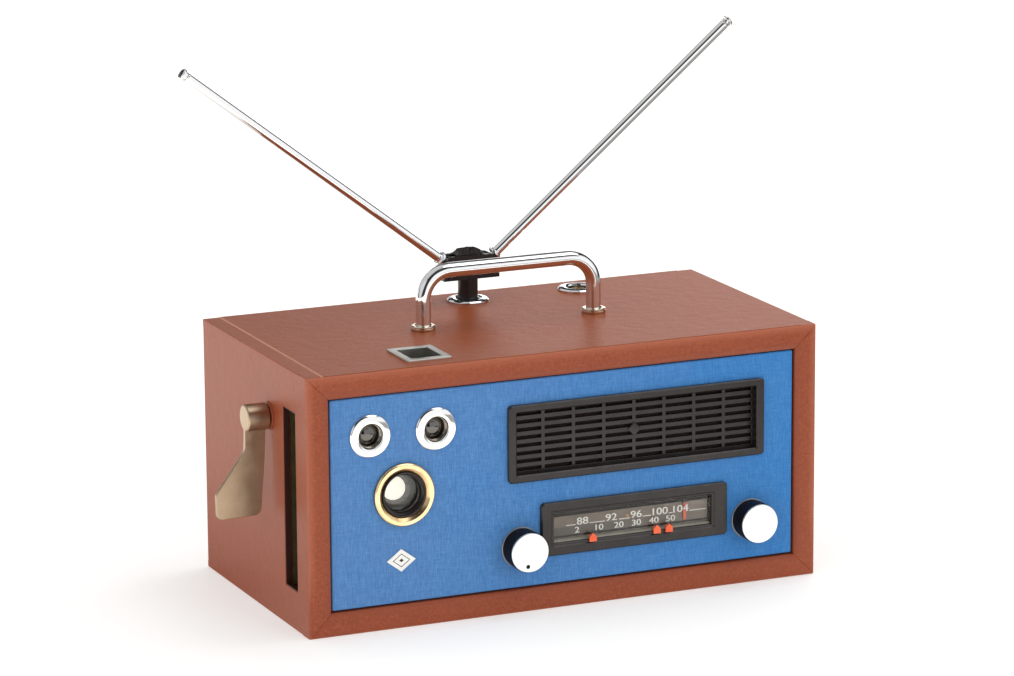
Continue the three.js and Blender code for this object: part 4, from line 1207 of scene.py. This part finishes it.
def knurled_mesh(low, high):
    """A low roof-shaped lump, broken into coarse pyramids."""
    columns, rows = 11, 7
    size = high - low
    vertices = []
    for j in range(rows):
        for i in range(columns):
            u, v = i / (columns - 1), j / (rows - 1)
            roof = 1 - max(abs(2 * u - 1) ** 1.5, abs(2 * v - 1) ** 2)
            peak = 0.3 if (i + j) % 2 and 0 < i < columns - 1 and 0 < j < rows - 1 else -0.16
            lift = min(max(0.12 + 0.62 * roof + peak, 0.08), 1)
            vertices.append((low.x + u * size.x, low.y + v * size.y, low.z + lift * size.z))
    faces = []
    for j in range(rows - 1):
        for i in range(columns - 1):
            a, b = j * columns + i, j * columns + i + 1
            c, d = b + columns, a + columns
            faces += [(a, b, c), (a, c, d)] if (i + j) % 2 else [(a, b, d), (b, c, d)]
    last = (rows - 1) * columns
    rim = (list(range(columns)) + list(range(2 * columns - 1, last + columns, columns))
           + list(range(last + columns - 2, last - 1, -1)) + list(range(last - columns, 0, -columns)))
    foot = list(range(len(vertices), len(vertices) + len(rim)))
    vertices.extend((vertices[k][0], vertices[k][1], low.z) for k in rim)
    return vertices, faces + band(rim, foot) + [tuple(reversed(foot))]


def make_rods(chrome):
    for side, sign in (("left", -1), ("right", 1)):
        lean = math.radians(90 - ELEVATIONS[side])
        pivot = Vector((PIVOTS[side], HEAD_MIDDLE.y, PIVOT_Z)) * MM
        matrix = Matrix.Translation(pivot) @ Matrix.Rotation(sign * lean, 4, "Y")
        rod_body = f"aerial_rod_{side}"
        end = ROD_LENGTH - 4.4  # of both tubes, just short of the tip's cap
        knuckle = fillet([(0, -4), (5.7, -4), (6.2, -3.5, 0.4), (6.2, 3.5, 0.4), (5.7, 4), (0, 4)])
        turned(f"aerial_knuckle_disc_{side}", knuckle, chrome, body=rod_body, node=f"aerial_knuckle_{side}",
               matrix=matrix @ Matrix.Rotation(math.pi / 2, 4, "X"))
        neck = fillet([
            (0, 3), (3.1, 3), (3.1, 7.6, 0.3), (4.9, 7.9, 0.2), (5.35, 8.2, 0.2), (5.35, 9.4, 0.3),
            (4.6, 10.0, 0.2), (4.1, 10.2), (4.1, 10.9), (0, 10.9),
        ])
        turned(f"aerial_neck_{side}", neck, chrome, facets=48, body=rod_body, matrix=matrix)
        # the rings just inside both ends keep the smooth shading of the long wall straight
        for name, body, radius, foot in (("tube", rod_body, 3.35, 10.9),
                                         ("middle", f"aerial_middle_{side}", 2.7, 14.9)):
            wall = fillet([
                (radius - 0.35, foot), (radius, foot, 0.1), (radius, foot + 0.6), (radius, end - 1.8),
                (radius, end - 1.1), (radius - 0.12, end - 0.9), (radius - 0.12, end - 0.5),
                (radius, end - 0.35), (radius, end, 0.15), (radius - 0.35, end),
            ], closed=True)
            turned(f"aerial_{name}_drawn_{side}", wall, chrome, facets=40, body=body,
                   node=f"aerial_{name}_{side}", matrix=matrix)
        tip = fillet([
            (0, 18.9), (2.1, 18.9, 0.3), (2.1, end + 0.3), (3.35, end + 0.4, 0.2), (3.35, ROD_LENGTH - 2.3),
            (4.15, ROD_LENGTH - 2, 0.2), (4.15, ROD_LENGTH - 0.7, 0.3), (3.3, ROD_LENGTH, 0.3),
            (0, ROD_LENGTH),
        ])
        turned(f"aerial_tip_drawn_{side}", tip, chrome, facets=40, body=f"aerial_tip_{side}",
               node=f"aerial_tip_{side}", matrix=matrix)


# ---------------------------------------------------------------- floor and light

ROOM = 0.04  # how bright the dark room is, seen in a polished piece
SHEETS = [
    # direction, cosines of its outer edge and its full part, heights where it ends and is full, brightness
    ((-0.25, 0.97, 0), 0.62, 0.7, 0.28, 0.1, 1.05),
    ((0.55, 0.82, 0.12), 0.96, 0.985, 0.4, 0.3, 2.3),
    ((0.45, -0.87, 0.2), 0.72, 0.8, 0.62, 0.42, 1.15),
    ((0.88, -0.4, 0.35), 0.9, 0.95, 2.0, 1.9, 1.1),
    ((-0.5, 0.35, 0.8), 0.7, 0.8, 2.0, 1.9, 0.66),
    ((-0.93, -0.2, 0.3), 0.86, 0.93, 2.0, 1.9, 0.8),
    ((0.1, 0.1, 1), 0.8, 0.92, 2.0, 1.9, 0.5),
    ((0.39, -0.15, 0.91), 0.93, 0.95, 2.0, 1.9, 2.5),
]


def make_stage():
    size = 2.4  # metres from the middle of the floor to each side
    mesh = bpy.data.meshes.new("floor")
    corners = [(-size, -size, 0), (size, -size, 0), (size, size, 0), (-size, size, 0)]
    mesh.from_pydata(corners, [], [(0, 1, 2, 3)])
    mesh.materials.append(studio_floor())
    floor = bpy.data.objects.new("floor", mesh)
    bpy.context.scene.collection.objects.link(floor)
    make_light("overhead", (0.8, 0.15, 1.8), (1.2, 1.2), 9.8)
    make_light("left", (-2.6, -0.9, 1.2), (1.6, 1.4), 8.3)
    make_light("front", (0.9, -2.9, 1.5), (1.4, 1.4), 9.7)
    make_world()
    bpy.context.scene.view_settings.view_transform = "Standard"
    bpy.context.scene.view_settings.look = "None"


def make_light(name, place, size, power):
    data = bpy.data.lights.new(name, "AREA")
    data.shape = "RECTANGLE"
    data.size, data.size_y = size
    data.energy = power
    lamp = bpy.data.objects.new(name, data)
    lamp.location = place
    lamp.visible_glossy = False
    lamp.rotation_euler = (Vector((0, 0, 0.1)) - Vector(place)).to_track_quat("-Z", "Y").to_euler()
    bpy.context.scene.collection.objects.link(lamp)


def make_world():
    """White to the camera, even as light, and to polished pieces a dark room hung with white sheets."""
    world = bpy.data.worlds.new("studio")
    bpy.context.scene.world = world
    world.use_nodes = True
    world.node_tree.nodes.clear()
    nodes = Nodes(world.node_tree, "Generated")
    height = nodes.axis("Z")
    level = ROOM
    for direction, outer, inner, top, full, brightness in SHEETS:
        spread = nodes.remap(nodes.towards(direction), outer, inner)
        below = nodes.remap(height, top, full, 0.0, brightness)
        level = nodes.math("MAXIMUM", level, nodes.times(spread, below))

    path = nodes.add("LightPath")

    def background(strength):
        return nodes.add("Background", {"Color": (1, 1, 1, 1), "Strength": strength}).outputs[0]

    def switch(ray, otherwise, seen):
        return nodes.add("MixShader", {"Fac": path.outputs[ray], 1: otherwise, 2: seen}).outputs[0]

    shown = switch("Is Glossy Ray", background(0.8), background(level))
    nodes.add("OutputWorld", {"Surface": switch("Is Camera Ray", shown, background(1.0))})


# ---------------------------------------------------------------- assembly

def main():
    make_camera()
    make_stage()

    skin = leatherette()
    chrome = plated("chrome", (0.83, 0.83, 0.84, 1), 0.05)
    nickel = plated("warm_nickel", srgb(222, 208, 186), 0.14, smudge=0.1)
    satin = plated("satin_steel", srgb(205, 203, 196), 0.3, smudge=0.12, grain=0.012, stretch=(1, 20, 1))
    steel = plated("plain_steel", srgb(178, 180, 182), 0.35, smudge=0.15, grain=0.01)
    dark_nickel = plated("dark_nickel", srgb(176, 168, 158), 0.16, smudge=0.08)
    washer = plated("washer_steel", srgb(140, 140, 142), 0.3, smudge=0.1)
    bronze = nickel_bronze()
    black = moulded("black_plastic", (25, 20, 20), (36, 30, 30), 0.3)
    knob_black = moulded("knob_black", (17, 14, 17), (25, 21, 24), 0.5, level=0.12)
    enamel = moulded("ivory_enamel", (238, 236, 229), (248, 247, 242), 0.3, 0.008)
    orange = moulded("orange_plastic", (238, 92, 50), (252, 116, 72), 0.45, 0.01)
    needle = moulded("needle_orange", (252, 104, 72), (255, 128, 96), 0.5, 0.01)
    ivory = moulded("ivory_plastic", (214, 206, 186), (228, 221, 203), 0.45)
    laminate = moulded("board_laminate", (120, 96, 50), (142, 116, 66), 0.55)
    wrap = moulded("battery_wrap", (40, 66, 96), (56, 84, 116), 0.4)
    dark_steel = moulded("dark_steel", (62, 55, 36), (86, 77, 52), 0.34)
    sill_metal = moulded("sill_metal", (158, 155, 142), (182, 178, 165), 0.5)
    white = moulded("print_white", (244, 243, 238), (252, 252, 249), 0.6, 0.004)
    amber = moulded("print_amber", (225, 165, 80), (238, 180, 98), 0.6, 0.004)
    cell_grey = moulded("lens_cell_grey", (104, 100, 96), (116, 112, 107), 0.5, 0.006)
    slot_edge = moulded("slot_edge", (44, 18, 12), (58, 25, 16), 0.5)
    lens = clear("lens_glass", (0.93, 0.95, 0.95, 1), 1.5)
    pane = clear("clear_plastic", (0.97, 0.97, 0.96, 1), 1.28)
    cloth = woven("speaker_cloth", (30, 23, 20), (70, 57, 50), 0.7, 0.12)
    paper = woven("cone_paper", (30, 28, 26), (44, 41, 38), 1.6, 0.06)

    make_front_frame(skin)
    make_case(skin, slot_edge)
    make_back(skin, steel)
    make_panel(blue_linen())
    make_badge(enamel, black)
    make_eyelets(chrome, nickel)
    make_finder_lenses(smoked_glass(), dark_nickel)
    make_main_lens(turned_brass(), black, cell_grey, lens, glowing_disc())
    make_hood(satin)
    make_grille(black)
    make_dial(black, pane, sill_metal, white, amber)
    make_pointer(needle, black)
    make_knobs(knob_black, spun_aluminium(), steel, washer)
    make_lever(bronze, black, skin)
    make_handle(chrome, nickel)
    make_mast(black, chrome)
    make_rods(chrome)

    for node, material, width in (
        *((f"station_marker_{k}", orange, 0.25) for k in (1, 2, 3)),
        ("side_slot_channel", dark_steel, 0.2), ("circuit_board", laminate, 0.3),
        ("battery_box", black, 0.5), ("battery_pack", wrap, 1.0),
    ):
        soften(node, material, width)
    finish_node("dial_scale", dial_ground())
    finish_node("grille_cloth", cloth)
    finish_node("drive_drum", ivory)
    finish_node("speaker_cone", paper)
    for node in ("speaker_basket", "speaker_magnet", "volume_control", "tuning_bearing", "tuner_unit"):
        finish_node(node, steel)


main()
